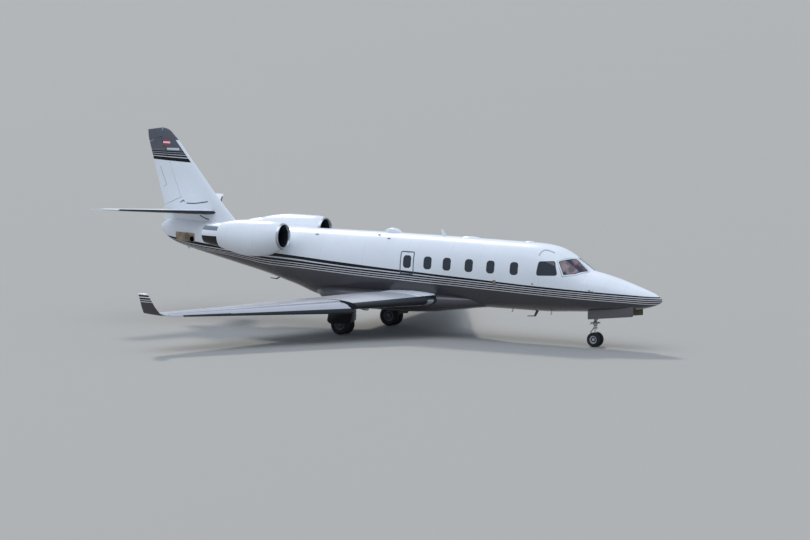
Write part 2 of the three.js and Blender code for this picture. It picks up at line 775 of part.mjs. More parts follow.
function wingSurface(side, { spans, shares, endGap }) {
  const ends = wingEnds(wingSection(side), wingTrailingLine(side), spans, shares);
  return hingedSurface(ends, point(0, 0, 1), endGap);
}

function makeWing(name, side) {
  const section = wingSection(side);
  const slatEnds = [SLAT.from - 30, SLAT.to + 30];
  const outerPanel = union([
    loft([foilRing(section(KINK_Y)), foilRing(section(slatEnds[0]))]),
    loft(slatEnds.map((span) => recessedRing(section(span)))),
    loft([foilRing(section(slatEnds[1])), foilRing(section(TIP_Y))]),
  ]);
  const flap = wingSurface(side, FLAP);
  const aileron = wingSurface(side, AILERON);
  const well = block(
    GEAR_WELL.rear,
    GEAR_WELL.front,
    ...onSide(side, MAIN.y - GEAR_WELL.inboard, MAIN.y + GEAR_WELL.outboard),
    0,
    GEAR_WELL.roof,
  );
  const padFoot = point(JACK.x, side * JACK.y, JACK.z);
  const pad = bar(padFoot, padFoot.clone().add(point(0, 0, 100)), JACK.radius, 16);
  const whole = union([panel(WING_INNER, side, CAMBER), outerPanel, pad]);
  const cuts = [flap.bay, aileron.bay, well, WHOLE_FUSELAGE, bellySolid(GAP)];
  add(`wing_${name}`, cutAll(whole, cuts), 'white');
  add(`flap_${name}`, flap.surface, 'white');
  add(`aileron_${name}`, aileron.surface, 'white');
}

function makeWinglet(name, side) {
  const rings = WINGLET.map(([leX, teX, y, leZ, teZ, lean, ratio, camber]) => {
    const angle = THREE.MathUtils.degToRad(lean);
    const up = point(0, -side * Math.sin(angle), Math.cos(angle));
    const [le, te] = [point(leX, side * y, leZ), point(teX, side * y, teZ)];
    return foilRing({ le, te, up, ratio, camber, grow: 0 });
  });
  add(`winglet_${name}`, loft(rings), 'taupe');
}

// Tail

function finSection([leX, leZ, teX, teZ, thickness]) {
  const le = point(leX, 0, leZ);
  const te = point(teX, 0, teZ);
  return { le, te, up: point(0, 1, 0), ratio: thickness / le.distanceTo(te), camber: 0, grow: 0 };
}

function rudderHingeX(z) {
  return RUDDER.hingeX - RUDDER.hingeSlope * (z - RUDDER.from);
}

function rudderEnd(z, back) {
  const [root, top] = [FIN[RUDDER.finRows[0]], FIN[RUDDER.finRows[1]]];
  const place = (z - root[1]) / (top[1] - root[1]);
  const [leX, , , , thickness] = root.map((value, column) => value + place * (top[column] - value));
  const edgeSlope = (root[2] - top[2]) / (top[3] - root[3]);
  const edgeX = root[2] - edgeSlope * (z - root[3]);
  const hinge = point(rudderHingeX(z), 0, z);
  const radius = thickness * halfThickness((leX - hinge.x) / (leX - edgeX));
  const reach = (edgeX - hinge.x) / (back.x + edgeSlope * back.z);
  return { hinge, radius, trailing: hinge.clone().addScaledVector(back, reach) };
}

function makeFin() {
  const [low, high] = [RUDDER.from, RUDDER.to].map((z) => point(rudderHingeX(z), 0, z));
  const axis = high.clone().sub(low).normalize();
  const back = point(-axis.z, 0, axis.x);
  const rudder = hingedSurface([low.z, high.z].map((z) => rudderEnd(z, back)), point(0, 1, 0), RUDDER.endGap);
  const beacon = bar(point(BEACON.x, 0, BEACON.from), point(BEACON.x, 0, BEACON.to), BEACON.radius, 12);
  const whole = union([loft(FIN.map((row) => foilRing(finSection(row)))), beacon]);
  add('fin', cutAll(whole, [rudder.bay, tailplaneSolid(GAP), WHOLE_FUSELAGE]), 'white');
  add('rudder', rudder.surface, 'white');
}

function tailplaneSolid(grow) {
  const span = TAILPLANE[1][0];
  return loft([-span, 0, span].map((place) => (
    foilRing(sectionAt(TAILPLANE, Math.abs(place), Math.sign(place) || 1, 0, grow))
  )));
}

function makeTailplane() {
  let fixed = tailplaneSolid(0);
  for (const [name, side] of SIDES) {
    const line = TAILPLANE.map(([span, , teX, , teZ]) => point(teX, side * span, teZ));
    const section = (span) => sectionAt(TAILPLANE, span, side, 0);
    const ends = wingEnds(section, line, ELEVATOR.spans, ELEVATOR.shares);
    const elevator = hingedSurface(ends, point(0, 0, 1), ELEVATOR.endGap);
    fixed = fixed.subtract(elevator.bay);
    add(`elevator_${name}`, elevator.surface, 'white');
  }
  add('tailplane', fixed, 'white');
}

// Engines

function cowlSolid(side, grow) {
  const last = COWL.length - 1;
  return loft(COWL.map(([x, z, radius], k) => {
    const place = x + (k === 0 ? grow : 0) - (k === last ? grow : 0);
    return ringAround(point(place, side * ENGINE_Y, z), radius + grow, ENGINE_SIDES);
  }));
}

// Round sections of one engine: x, z, radius
function round(side, rows, sides = ENGINE_SIDES) {
  return loft(rows.map(([x, z, radius]) => ringAround(point(x, side * ENGINE_Y, z), radius, sides)));
}

function makeFan(name, side) {
  const { front, back, radius } = FAN;
  const { count, root, chord, thickness, pitch } = BLADE;
  const spinner = round(side, [
    [front + 120, ENGINE_Z, 10],
    [front + 80, ENGINE_Z, 60],
    [back + 30, ENGINE_Z, root + 20],
  ], 12);
  const ring = Array.from({ length: count }, (_, k) => {
    const geometry = new THREE.BoxGeometry(chord, thickness, radius - root);
    geometry.rotateZ(side * THREE.MathUtils.degToRad(pitch));
    geometry.translate((front + back) / 2, 0, (radius + root) / 2);
    geometry.rotateX((2 * Math.PI * k) / count);
    geometry.translate(0, side * ENGINE_Y, ENGINE_Z);
    return solid(geometry);
  });
  add(`fan_${name}`, union([spinner, ...ring]), 'metal');
}

function makeEngine(name, side) {
  const [lip, rim] = COWL;
  const duct = round(side, [
    [lip[0] + 5, lip[1], lip[2] - 9],
    [rim[0] - 20, rim[1], rim[2] - 42],
    [THROAT.x, THROAT.z, THROAT.radius],
    [FAN.front + 40, ENGINE_Z, FAN.duct],
    [FAN.back - 10, ENGINE_Z, FAN.duct],
  ]);
  const bore = round(side, [[FAN.back, ENGINE_Z, CORE.radius], [CORE.back - 100, ENGINE_Z, CORE.radius]]);
  add(`engine_cowl_${name}`, cutAll(cowlSolid(side, 0), [duct, bore]), 'white');

  const core = round(side, [
    [FAN.back - 25, ENGINE_Z, CORE.radius - GAP],
    [CORE.back, ENGINE_Z, CORE.radius - GAP],
  ]);
  const plug = round(side, [
    [CORE.back + 20, ENGINE_Z, CORE.plug],
    [CORE.plugMiddle, ENGINE_Z, CORE.plug - 20],
    [CORE.plugEnd, ENGINE_Z, 15],
  ]);
  add(`engine_core_${name}`, core.add(plug), 'dark');

  const { front, back, frontRadius, radius, bore: exit } = NOZZLE;
  const nozzle = round(side, [[front, ENGINE_Z, frontRadius], [back, ENGINE_Z, radius]]);
  const passage = round(side, [[front + 10, ENGINE_Z, exit + 20], [back - 10, ENGINE_Z, exit]]);
  add(`reverser_${name}`, nozzle.subtract(passage), 'metal');

  const { x, chord, frontZ, backZ, from, ratio } = PYLON;
  const pylon = loft([from, ENGINE_Y].map((span) => foilRing({
    le: point(x, side * span, frontZ),
    te: point(x - chord, side * span, backZ),
    up: point(0, 0, 1),
    ratio,
    camber: 0,
    grow: 0,
  })));
  add(`pylon_${name}`, cutAll(pylon, [WHOLE_FUSELAGE, cowlSolid(side, GAP)]), 'white');
}

// Wheels and legs

// A profile of distances from the axle and along it, turned about the axle, with a flat facet on the ground
function turnedAboutAxle(wheel, y, profile) {
  const points = profile.map(([away, along]) => new THREE.Vector2(away, along));
  const geometry = new THREE.LatheGeometry(points, WHEEL_SIDES, Math.PI / WHEEL_SIDES);
  geometry.translate(wheel.x, y, wheel.radius);
  return solid(geometry);
}

function tyre(wheel, y) {
  const half = wheel.width / 2;
  const bead = wheel.rim + GAP;
  const cornerScale = 1 / Math.cos(Math.PI / WHEEL_SIDES);
  const side = TYRE.map(([up, across]) => [
    (bead + up * (wheel.radius - bead)) * cornerScale,
    across * half,
  ]);
  const mirrored = side.map(([away, along]) => [away, -along]).reverse();
  return turnedAboutAxle(wheel, y, [...side, ...mirrored, side[0]]);
}

function hubs(wheel, y) {
  const half = wheel.width / 2;
  const side = HUB.map(([axleShare, rimShare, out]) => [
    axleShare * wheel.axle + rimShare * wheel.rim,
    wheel.spacing + out * half,
  ]);
  return turnedAboutAxle(wheel, y, [...side.map(([away, along]) => [away, -along]).reverse(), ...side]);
}

function makeWheels(label, wheel, y, outward) {
  add(`${label}_hubs`, hubs(wheel, y), 'metal');
  add(`${label}_tyre_outer`, tyre(wheel, y + outward * wheel.spacing), 'tyre');
  add(`${label}_tyre_inner`, tyre(wheel, y - outward * wheel.spacing), 'tyre');
}

function makeMainGear(name, side) {
  const y = side * MAIN.y;
  const { pivotX, pivotZ, top, strut, half, stay } = MAIN_LEG;
  const across = (x, z, radius, reach) => bar(point(x, y - reach, z), point(x, y + reach, z), radius, 16);
  const leg = union([
    bar(point(pivotX, y, pivotZ), point(pivotX, y, top), strut, 16),
    bar(point(pivotX - 95, y, top - 39), point(MAIN.x + 90, y, MAIN.radius + 98), 25, 10),
    sidePrism(polygon(TRAILING_ARM), y - half, y + half),
    across(pivotX, pivotZ, strut - 2, half + 13),
    across(MAIN.x, MAIN.radius, strut, half),
  ]).subtract(across(MAIN.x, MAIN.radius, MAIN.axle + 4, half + 10));
  add(`main_leg_${name}`, leg, 'white');
  makeWheels(`main_${name}`, MAIN, y, side);

  const doorReach = onSide(side, MAIN_DOOR.y, MAIN_DOOR.y + MAIN_DOOR.thickness);
  const skin = sidePrism(polygon(MAIN_DOOR.outline), ...doorReach);
  const armEnds = [y + side * (strut + 1), side * (MAIN_DOOR.y + 1)];
  const arm = bar(...armEnds.map((end) => point(pivotX, end, stay)), 18, 8);
  add(`main_leg_door_${name}`, skin.add(arm), 'taupe');
}

function makeNoseGear() {
  const { x, radius, axle } = NOSE;
  const { collar, piston, sleeve, top, bearing, brace, trunnion } = NOSE_LEG;
  const upright = (z0, z1, r) => bar(point(x, 0, z0), point(x, 0, z1), r, 16);
  const leg = union([
    upright(collar, top, sleeve),
    bar(point(x + 20, 0, brace.footZ), point(brace.headX, 0, brace.headZ), 26, 10),
    bar(point(x, -trunnion.half, trunnion.z), point(x, trunnion.half, trunnion.z), 34, 12),
  ]).subtract(upright(collar - 80, bearing + 40, piston + 6));
  add('nose_leg', leg, 'metal');

  const links = TORQUE_LINKS.map(([x0, z0, x1, z1]) => (
    bar(point(x + x0, 0, z0), point(x + x1, 0, z1), 17, 8)
  ));
  const knuckle = bar(point(x, -34, radius), point(x, 34, radius), 45, 16);
  const { from, to, half } = TOW_LUG;
  const lug = block(x + from, x + to, -half, half, radius - half, radius + half);
  const steered = union([upright(radius, bearing, piston), upright(505, 565, 60), knuckle, lug, ...links]);
  const bore = bar(point(x, -60, radius), point(x, 60, radius), axle + 3, 16);
  add('nose_fork', steered.subtract(bore), 'metal');
  makeWheels('nose', NOSE, 0, 1);

  for (const [name, side] of SIDES) {
    const reach = onSide(side, NOSE_DOOR.y, NOSE_DOOR.y + NOSE_DOOR.thickness);
    const skin = sidePrism(polygon(NOSE_DOOR.outline), ...reach);
    add(`nose_door_${name}`, skin.subtract(WHOLE_FUSELAGE), 'taupe');
  }
}

makeNose();
makeCockpit();
makeCabin();
makeAft();
add('belly_fairing', bellySolid(0).subtract(WHOLE_FUSELAGE), 'taupe');
makeGlass();
makeDoors();
makeInterior();
makeAntenna();
for (const [name, side] of SIDES) {
  makeWing(name, side);
  makeSlat(name, side);
  makeWinglet(name, side);
  makeEngine(name, side);
  makeFan(name, side);
  makeMainGear(name, side);
}
makeFin();
makeTailplane();
makeNoseGear();

export default jet;
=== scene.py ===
"""Looks of a twin-engined business jet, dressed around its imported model. Metres, +X nose, +Y port, +Z up."""
import math

import bmesh
import bpy
import numpy as np
from mathutils import Matrix, Vector


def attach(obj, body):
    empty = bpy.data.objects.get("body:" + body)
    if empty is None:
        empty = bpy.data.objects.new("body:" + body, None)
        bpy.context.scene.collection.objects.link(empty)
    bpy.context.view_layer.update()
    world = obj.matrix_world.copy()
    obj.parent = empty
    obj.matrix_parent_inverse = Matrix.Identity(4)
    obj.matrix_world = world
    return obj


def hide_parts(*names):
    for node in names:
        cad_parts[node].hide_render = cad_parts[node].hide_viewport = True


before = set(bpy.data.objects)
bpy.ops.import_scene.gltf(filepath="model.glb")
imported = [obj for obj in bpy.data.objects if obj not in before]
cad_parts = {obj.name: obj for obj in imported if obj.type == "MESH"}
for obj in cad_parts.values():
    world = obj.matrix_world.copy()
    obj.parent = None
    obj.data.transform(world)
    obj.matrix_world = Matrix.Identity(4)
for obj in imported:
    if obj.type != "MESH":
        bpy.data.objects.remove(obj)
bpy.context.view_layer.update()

bl_info = {
    "name": "Business jet",
    "version": (1, 0, 0),
    "blender": (4, 5, 0),
    "location": "View3D > Sidebar > Jet",
    "description": "Skins, glass, engines, undercarriage and paint of a parked business jet",
    "category": "Object",
}

SIDES = (("left", 1), ("right", -1))
UP = Vector((0, 0, 1))
ACROSS = Vector((0, 1, 0))

# Gap between two skins, gap of a moving surface in its bay, gap round a door, and the fuselage wall
GAP = 0.0003
RUNNING_GAP = 0.008
DOOR_GAP = 0.007
WALL = 0.065

# Fineness of the fuselage: power of its oval sections, their points, and the step between sections
FUSELAGE_FULLNESS = 2.3
FUSELAGE_SIDES = 96
STATION_STEP = 0.11
NOSE_ROUNDING = 0.32

# Fuselage sections: x, top z, bottom z, half width
FUSELAGE = (
    (8.470, 1.412, 1.392, 0.012),
    (8.430, 1.462, 1.350, 0.062),
    (8.340, 1.527, 1.290, 0.128),
    (8.170, 1.604, 1.225, 0.222),
    (7.870, 1.703, 1.146, 0.340),
    (7.510, 1.815, 1.095, 0.440),
    (7.000, 1.964, 1.040, 0.545),
    (6.500, 2.075, 0.998, 0.625),
    (6.270, 2.116, 0.980, 0.655),
    (5.980, 2.321, 0.962, 0.690),
    (5.666, 2.517, 0.945, 0.722),
    (5.296, 2.698, 0.920, 0.750),
    (5.070, 2.755, 0.908, 0.765),
    (4.800, 2.792, 0.902, 0.777),
    (4.500, 2.806, 0.900, 0.785),
    (0.000, 2.846, 0.900, 0.785),
    (-2.200, 2.838, 0.900, 0.780),
    (-3.200, 2.829, 1.176, 0.735),
    (-4.200, 2.826, 1.449, 0.655),
    (-5.200, 2.830, 1.668, 0.550),
    (-6.200, 2.840, 1.880, 0.420),
    (-7.000, 2.850, 2.056, 0.300),
    (-7.500, 2.860, 2.200, 0.205),
    (-7.800, 2.800, 2.366, 0.130),
    (-7.950, 2.680, 2.500, 0.060),
)
NOSE_SEAM = 6.270
COCKPIT_SEAM = 4.800
AFT_SEAM = -2.200
TAIL_SEAM = -5.850
CABIN_SPLIT = 1.600
NOSE_TIP = FUSELAGE[0][0]
TAIL_TIP = FUSELAGE[-1][0]

# Windows and doors
WINDOW_X = (4.199, 3.449, 2.756, 2.046, 1.424, 0.760)
WINDOW = {"width": 0.26, "height": 0.36, "radius": 0.095, "z": 2.12}
CABIN_DOOR = {"x": 4.38, "width": 0.66, "sill": 1.08, "height": 1.37, "radius": 0.12}
BAGGAGE_DOOR = {"x": -2.96, "width": 0.68, "sill": 1.40, "height": 0.56, "radius": 0.09}
OVERWING_EXIT = {"x": 0.755, "width": 0.45, "sill": 1.76, "height": 0.65, "radius": 0.06, "band": 0.028}
OPENING_NEAR = 0.28
OPENING_FAR = 0.95

# Windscreen corners: outer top, outer bottom, lower middle, inner bottom, inner top, upper middle
WINDSCREEN = ((5.500, 0.565, 2.385), (5.718, 0.678, 2.010), (6.020, 0.545, 2.038), (6.250, 0.180, 2.105),
              (5.815, 0.070, 2.428), (5.672, 0.360, 2.412))
SIDE_PANE = ((4.940, 2.362), (5.412, 2.388), (5.556, 1.992), (4.898, 1.962))

# Belly fairing sections: x, half width, bottom z, top z
BELLY_FULLNESS = 2.6
BELLY = (
    (3.250, 0.300, 0.925, 1.180),
    (2.711, 0.600, 0.868, 1.270),
    (2.307, 0.740, 0.812, 1.290),
    (1.978, 0.800, 0.775, 1.300),
    (1.419, 0.850, 0.695, 1.310),
    (0.294, 0.885, 0.640, 1.320),
    (-1.400, 0.890, 0.650, 1.320),
    (-1.780, 0.840, 0.690, 1.310),
    (-2.020, 0.760, 0.785, 1.300),
    (-2.250, 0.600, 0.905, 1.290),
    (-2.480, 0.400, 1.010, 1.270),
)

# Wing and tail sections: span y, leading x, trailing x, leading z, trailing z, thickness ratio
KINK_Y = 2.95
TIP_Y = 8.05
WING_INNER = ((0.560, 1.930, -1.745, 1.085, 0.955, 0.118), (KINK_Y, 0.410, -2.240, 1.010, 0.985, 0.105))
WING_OUTER = ((KINK_Y, 0.300, -2.240, 1.010, 0.985, 0.105), (TIP_Y, -2.680, -3.280, 1.020, 1.035, 0.085))
TAILPLANE = ((0.0, -6.015, -7.560, 3.102, 3.092, 0.1), (3.2, -7.860, -8.450, 3.323, 3.307, 0.09))
CAMBER = 0.012

# Winglet sections: leading x, trailing x, y, leading z, trailing z, lean in degrees, thickness ratio, camber
WINGLET = (
    (-2.680, -3.280, TIP_Y + GAP, 1.020, 1.035, 0, 0.085, CAMBER),
    (-2.760, -3.310, 8.135, 1.060, 1.060, 40, 0.08, 0),
    (-2.870, -3.335, 8.200, 1.200, 1.200, 64, 0.075, 0),
    (-3.080, -3.380, 8.319, 1.610, 1.610, 64, 0.07, 0),
)

# Fin sections: leading x and z, trailing x and z, thickness
FIN = (
    (-5.300, 2.780, -7.905, 2.800, 0.190),
    (-5.800, 3.290, -7.905, 3.290, 0.200),
    (-6.149, 3.669, -8.008, 3.669, 0.190),
    (-7.436, 5.188, -8.450, 5.200, 0.110),
    (-7.560, 5.305, -8.460, 5.300, 0.090),
    (-7.640, 5.385, -8.465, 5.360, 0.074),
    (-7.710, 5.440, -8.467, 5.392, 0.060),
    (-7.790, 5.478, -8.468, 5.412, 0.045),
    (-7.880, 5.498, -8.469, 5.424, 0.031),
    (-7.990, 5.505, -8.470, 5.430, 0.018),
)
RUDDER = {"from": 3.480, "to": 5.230, "hinge_x": -7.327, "slope": 0.4073, "gap": 0.010}
BEACON = {"x": -7.959, "from": 5.400, "to": 5.540, "radius": 0.032}
FLAP = {"spans": (1.020, 5.350), "shares": (0.83, 0.735), "gap": 0.020}
AILERON = {"spans": (5.520, 7.800), "shares": (0.735, 0.72), "gap": 0.012}
ELEVATOR = {"spans": (0.420, 3.080), "shares": (0.7, 0.66), "gap": 0.010}
SLAT = {"from": 3.0, "to": 7.9, "chord": 0.15, "under": 0.066, "back": 0.15, "down": 0.19, "opens": 22}

# Chord share, side and share of the thickness, of the fixed nose behind a slat and of a slat's inner face
FIXED_NOSE = ((0.168, 1, 1), (0.163, 1, 0.72), (0.115, 1, 0.6), (0.08, 1, 0.45), (0.058, 1, 0.2),
              (0.058, -1, 0.25), (0.066, -1, 0.55))
SLAT_INSIDE = ((0.15, 1, 0.93), (0.1, 1, 0.83), (0.055, 1, 0.66), (0.033, 1, 0.3), (0.033, -1, 0.35),
               (0.045, -1, 0.86))
GEAR_WELL = {"rear": -1.250, "front": -0.440, "inboard": 0.180, "outboard": 0.225, "roof": 0.990}

# Engine cowl sections: x, centre z, radius
COWL = (
    (-3.070, 2.663, 0.345),
    (-3.087, 2.662, 0.364),
    (-3.135, 2.658, 0.378),
    (-3.340, 2.627, 0.445),
    (-3.580, 2.582, 0.492),
    (-3.960, 2.558, 0.520),
    (-4.290, 2.559, 0.515),
    (-4.620, 2.569, 0.478),
    (-4.940, 2.582, 0.415),
    (-5.130, 2.587, 0.368),
)
ENGINE_Y = 1.170
ENGINE_Z = 2.587
ENGINE_SIDES = 72
FAN = {"front": -3.675, "back": -3.855, "radius": 0.347, "duct": 0.362, "blades": 28}
CORE = {"radius": 0.300, "back": -5.120}
NOZZLE = {"front": -5.132, "back": -5.700, "front_radius": 0.350, "radius": 0.262, "bore": 0.195}
PYLON = {"x": -3.590, "chord": 1.480, "front_z": 2.500, "back_z": 2.560, "ratio": 0.105}

# Wheels: axle x, side, radius, width, rim radius, spacing from the middle of the axle
MAIN = {"x": -0.970, "y": 1.385, "radius": 0.292, "width": 0.178, "rim": 0.150, "spacing": 0.125,
        "axle": 0.028}
NOSE = {"x": 6.395, "y": 0.0, "radius": 0.203, "width": 0.112, "rim": 0.105, "spacing": 0.094,
        "axle": 0.020}
WHEEL_SIDES = 60


# Interpolation and rings

def straight(table, place):
    """Straight-line values of a table by its first column."""
    rows = np.array(sorted(table))
    return tuple(float(np.interp(place, rows[:, 0], column)) for column in rows.T)


def smooth(table, place):
    """Smooth values of a table by its first column, which never run past its rows."""
    rows = np.array(sorted(table))
    x, values = rows[:, 0], rows[:, 1:]
    k = int(np.clip(np.searchsorted(x, place) - 1, 0, len(x) - 2))
    slopes = np.diff(values, axis=0) / np.diff(x)[:, None]

    def slope_at(i):
        before, after = slopes[max(i - 1, 0)], slopes[min(i, len(slopes) - 1)]
        same = before * after > 0
        return np.where(same, 2 * before * after / np.where(same, before + after, 1), 0)

    h = x[k + 1] - x[k]
    t = (place - x[k]) / h
    blend = (values[k] * (2 * t ** 3 - 3 * t ** 2 + 1) + slope_at(k) * h * (t ** 3 - 2 * t ** 2 + t)
             + values[k + 1] * (3 * t ** 2 - 2 * t ** 3) + slope_at(k + 1) * h * (t ** 3 - t ** 2))
    return (place, *blend)


NOSE_ROWS = tuple(row for row in FUSELAGE if row[0] >= NOSE_SEAM)
BODY_ROWS = tuple(row for row in FUSELAGE if row[0] <= NOSE_SEAM)
FINE_X = np.arange(TAIL_TIP, NOSE_TIP + 0.0005, 0.005)
FINE_ROWS = np.array([smooth(NOSE_ROWS if x > NOSE_SEAM else BODY_ROWS, x)[1:] for x in FINE_X])


def fuselage_row(x):
    """Top, bottom and half width of the fuselage at one station or an array of them."""
    return tuple(np.interp(x, FINE_X, FINE_ROWS[:, column]) for column in range(3))


def oval(x, top, bottom, half, fullness, sides):
    """One oval section as points, the first just above the port side."""
    angles = 2 * np.pi * (np.arange(sides) + 0.5) / sides
    across = np.sign(np.cos(angles)) * np.abs(np.cos(angles)) ** (2 / fullness)
    up = np.sign(np.sin(angles)) * np.abs(np.sin(angles)) ** (2 / fullness)
    middle, tall = (top + bottom) / 2, (top - bottom) / 2
    return np.column_stack([np.full(sides, x), half * across, middle + tall * up])


def fuselage_ring(x, inset=0.0, sides=FUSELAGE_SIDES):
    top, bottom, half = fuselage_row(x)
    middle, tall = (top + bottom) / 2, max((top - bottom) / 2 - inset, 0.004)
    return oval(x, middle + tall, middle - tall, max(half - inset, 0.004), FUSELAGE_FULLNESS, sides)


def fuselage_half_width(x, z, inset=0.0):
    top, bottom, half = fuselage_row(x)
    rise = abs(z - (top + bottom) / 2) / ((top - bottom) / 2 - inset)
    return (half - inset) * max(1 - rise ** FUSELAGE_FULLNESS, 0) ** (1 / FUSELAGE_FULLNESS)


def fuselage_level(points):
    """How far points stand from the middle of their section, 1 being the outer skin."""
    top, bottom, half = fuselage_row(points[:, 0])
    across = np.abs(points[:, 1]) / half
    up = np.abs(points[:, 2] - (top + bottom) / 2) / ((top - bottom) / 2)
    return (across ** FUSELAGE_FULLNESS + up ** FUSELAGE_FULLNESS) ** (1 / FUSELAGE_FULLNESS)


def fuselage_normals(points):
    """Outward directions of the fuselage skin next to points."""
    reach = 0.004 * np.eye(3)
    slope = np.column_stack([fuselage_level(points + way) - fuselage_level(points - way) for way in reach])
    return slope / np.maximum(np.linalg.norm(slope, axis=1), 1e-9)[:, None]


def stations(rear, front, step=STATION_STEP):
    """Even stations from rear to front, closer together over the rounded nose."""
    count = max(int(math.ceil((front - rear) / step)), 1)
    places = [rear + (front - rear) * k / count for k in range(count + 1)]
    if front == NOSE_TIP:
        places = [p for p in places if p < NOSE_TIP - NOSE_ROUNDING - 0.03]
        places += [NOSE_TIP - NOSE_ROUNDING * (1 - k / 12) ** 2 for k in range(13)]
    return places


# Meshes

def linked(name, data):
    """A new object of the scene for some data."""
    thing = bpy.data.objects.new(name, data)
    bpy.context.scene.collection.objects.link(thing)
    return thing


def mesh_object(name, points, faces):
    mesh = bpy.data.meshes.new(name)
    mesh.from_pydata([tuple(map(float, p)) for p in points], [], faces)
    return linked(name, mesh)


def outward(piece):
    """Merges doubles and turns every face outwards."""
    grid = bmesh.new()
    grid.from_mesh(piece.data)
    bmesh.ops.remove_doubles(grid, verts=grid.verts, dist=0.00001)
    bmesh.ops.recalc_face_normals(grid, faces=grid.faces)
    grid.to_mesh(piece.data)
    grid.free()
    return piece


def loft(name, rings, closed=False):
    """A skin through rings of equal count, with its ends filled, or joined to each other when closed."""
    count, rows = len(rings[0]), len(rings)
    faces = []
    for row in range(rows if closed else rows - 1):
        low, high = row * count, ((row + 1) % rows) * count
        for k in range(count):
            after = (k + 1) % count
            faces.append((low + k, low + after, high + after, high + k))
    if not closed:
        faces += [tuple(range(count)), tuple(range((rows - 1) * count, rows * count))]
    return outward(mesh_object(name, np.concatenate(rings), faces))


def side_prism(name, outline, near, far):
    """An outline in x and z carried along y."""
    return loft(name, [np.array([(x, y, z) for x, z in outline]) for y in (near, far)])


def block(name, low, high):
    """A box between two opposite corners."""
    (x0, y0, z0), (x1, y1, z1) = low, high
    return side_prism(name, ((x0, z0), (x1, z0), (x1, z1), (x0, z1)), y0, y1)


def rounded_corners(corners, radius, steps=6):
    """A closed polygon in space with its corners rounded by arcs."""
    points = []
    places = [Vector(p) for p in corners]
    for k, here in enumerate(places):
        before, after = places[k - 1] - here, places[(k + 1) % len(places)] - here
        reach = min(radius / math.tan(before.angle(after) / 2), 0.45 * before.length, 0.45 * after.length)
        start, end = here + before.normalized() * reach, here + after.normalized() * reach
        for t in (step / steps for step in range(steps + 1)):
            points.append(start * (1 - t) ** 2 + here * (2 * t * (1 - t)) + end * t ** 2)
    return points


def rounded_outline(x, z, width, height, radius, steps=8):
    """A rectangle in x and z about its middle, with round corners."""
    points = []
    for across, up, start in ((1, 1, 0), (-1, 1, 90), (-1, -1, 180), (1, -1, 270)):
        for angle in (math.radians(start + 90 * k / steps) for k in range(steps + 1)):
            points.append((x + across * (width / 2 - radius) + radius * math.cos(angle),
                           z + up * (height / 2 - radius) + radius * math.sin(angle)))
    return points


def smoothed_path(points, steps=6):
    """A smooth line through points."""
    points = [Vector(p) for p in points]
    places = [points[0], *points, points[-1]]
    path = []
    for k in range(1, len(places) - 2):
        a, b, c, d = places[k - 1:k + 3]
        for t in (step / steps for step in range(steps)):
            path.append(0.5 * ((2 * b) + (c - a) * t + (2 * a - 5 * b + 4 * c - d) * t * t
                               + (3 * b - a - 3 * c + d) * t ** 3))
    return path + [points[-1]]


def frame_of(direction):
    """Two directions square to one direction and to each other."""
    along = Vector(direction).normalized()
    side = along.cross(UP if abs(along.z) < 0.9 else Vector((1, 0, 0))).normalized()
    return side, along.cross(side)


def round_ring(centre, side, up, radius, sides):
    angles = (2 * math.pi * k / sides for k in range(sides))
    return np.array([tuple(centre + (side * math.cos(a) + up * math.sin(a)) * radius) for a in angles])


def tube(name, path, radius, sides=12):
    """A round bar or pipe along points, with one radius or one for each point."""
    radii = radius if hasattr(radius, "__len__") else [radius] * len(path)
    points = [Vector(p) for p in path]
    rings = []
    side, _ = frame_of(points[1] - points[0])
    for k, place in enumerate(points):
        along = (points[min(k + 1, len(points) - 1)] - points[max(k - 1, 0)]).normalized()
        side = (side - along * side.dot(along)).normalized()
        rings.append(round_ring(place, side, along.cross(side), radii[k], sides))
    return loft(name, rings)


def lathe(name, profile, origin, axis, sides=48, closed=False):
    """A profile of (radius, distance along the axis) turned about an axis through origin."""
    side, up = frame_of(axis)
    along, start = Vector(axis).normalized(), Vector(origin)
    return loft(name, [round_ring(start + along * distance, side, up, max(radius, 0.0002), sides)
                       for radius, distance in profile], closed)


def baked(piece):
    """The piece with its modifiers worked into its mesh."""
    graph = bpy.context.evaluated_depsgraph_get()
    mesh = bpy.data.meshes.new_from_object(piece.evaluated_get(graph))
    piece.modifiers.clear()
    old = piece.data
    piece.data = mesh
    mesh.name = piece.name
    bpy.data.meshes.remove(old)
    return piece


def modified(piece, kind, **settings):
    """The piece with one modifier worked into its mesh."""
    change = piece.modifiers.new(kind.lower(), kind)
    for name, value in settings.items():
        setattr(change, name, value)
    bpy.context.view_layer.update()
    return baked(piece)


def carved(piece, tools, operation="DIFFERENCE"):
    """The piece cut, joined or trimmed by closed tools, which are used up."""
    for tool in tools:
        cut = piece.modifiers.new("cut", "BOOLEAN")
        cut.operation = operation
        cut.solver = "MANIFOLD"
        cut.object = tool
    bpy.context.view_layer.update()
    baked(piece)
    for tool in tools:
        bpy.data.objects.remove(tool)
    return piece


def joined(name, pieces):
    """Several separate solids as one piece."""
    grid = bmesh.new()
    for piece in pieces:
        grid.from_mesh(piece.data)
        bpy.data.objects.remove(piece)
    mesh = bpy.data.meshes.new(name)
    grid.to_mesh(mesh)
    grid.free()
    return linked(name, mesh)


def softened(piece, width, segments=2):
    """Rounded edges on a hard-edged piece."""
    return modified(piece, "BEVEL", width=width, segments=segments, limit_method="ANGLE",
                    angle_limit=math.radians(40))


def shaded(piece, angle=35):
    piece.data.shade_smooth()
    piece.data.set_sharp_from_angle(angle=math.radians(angle))


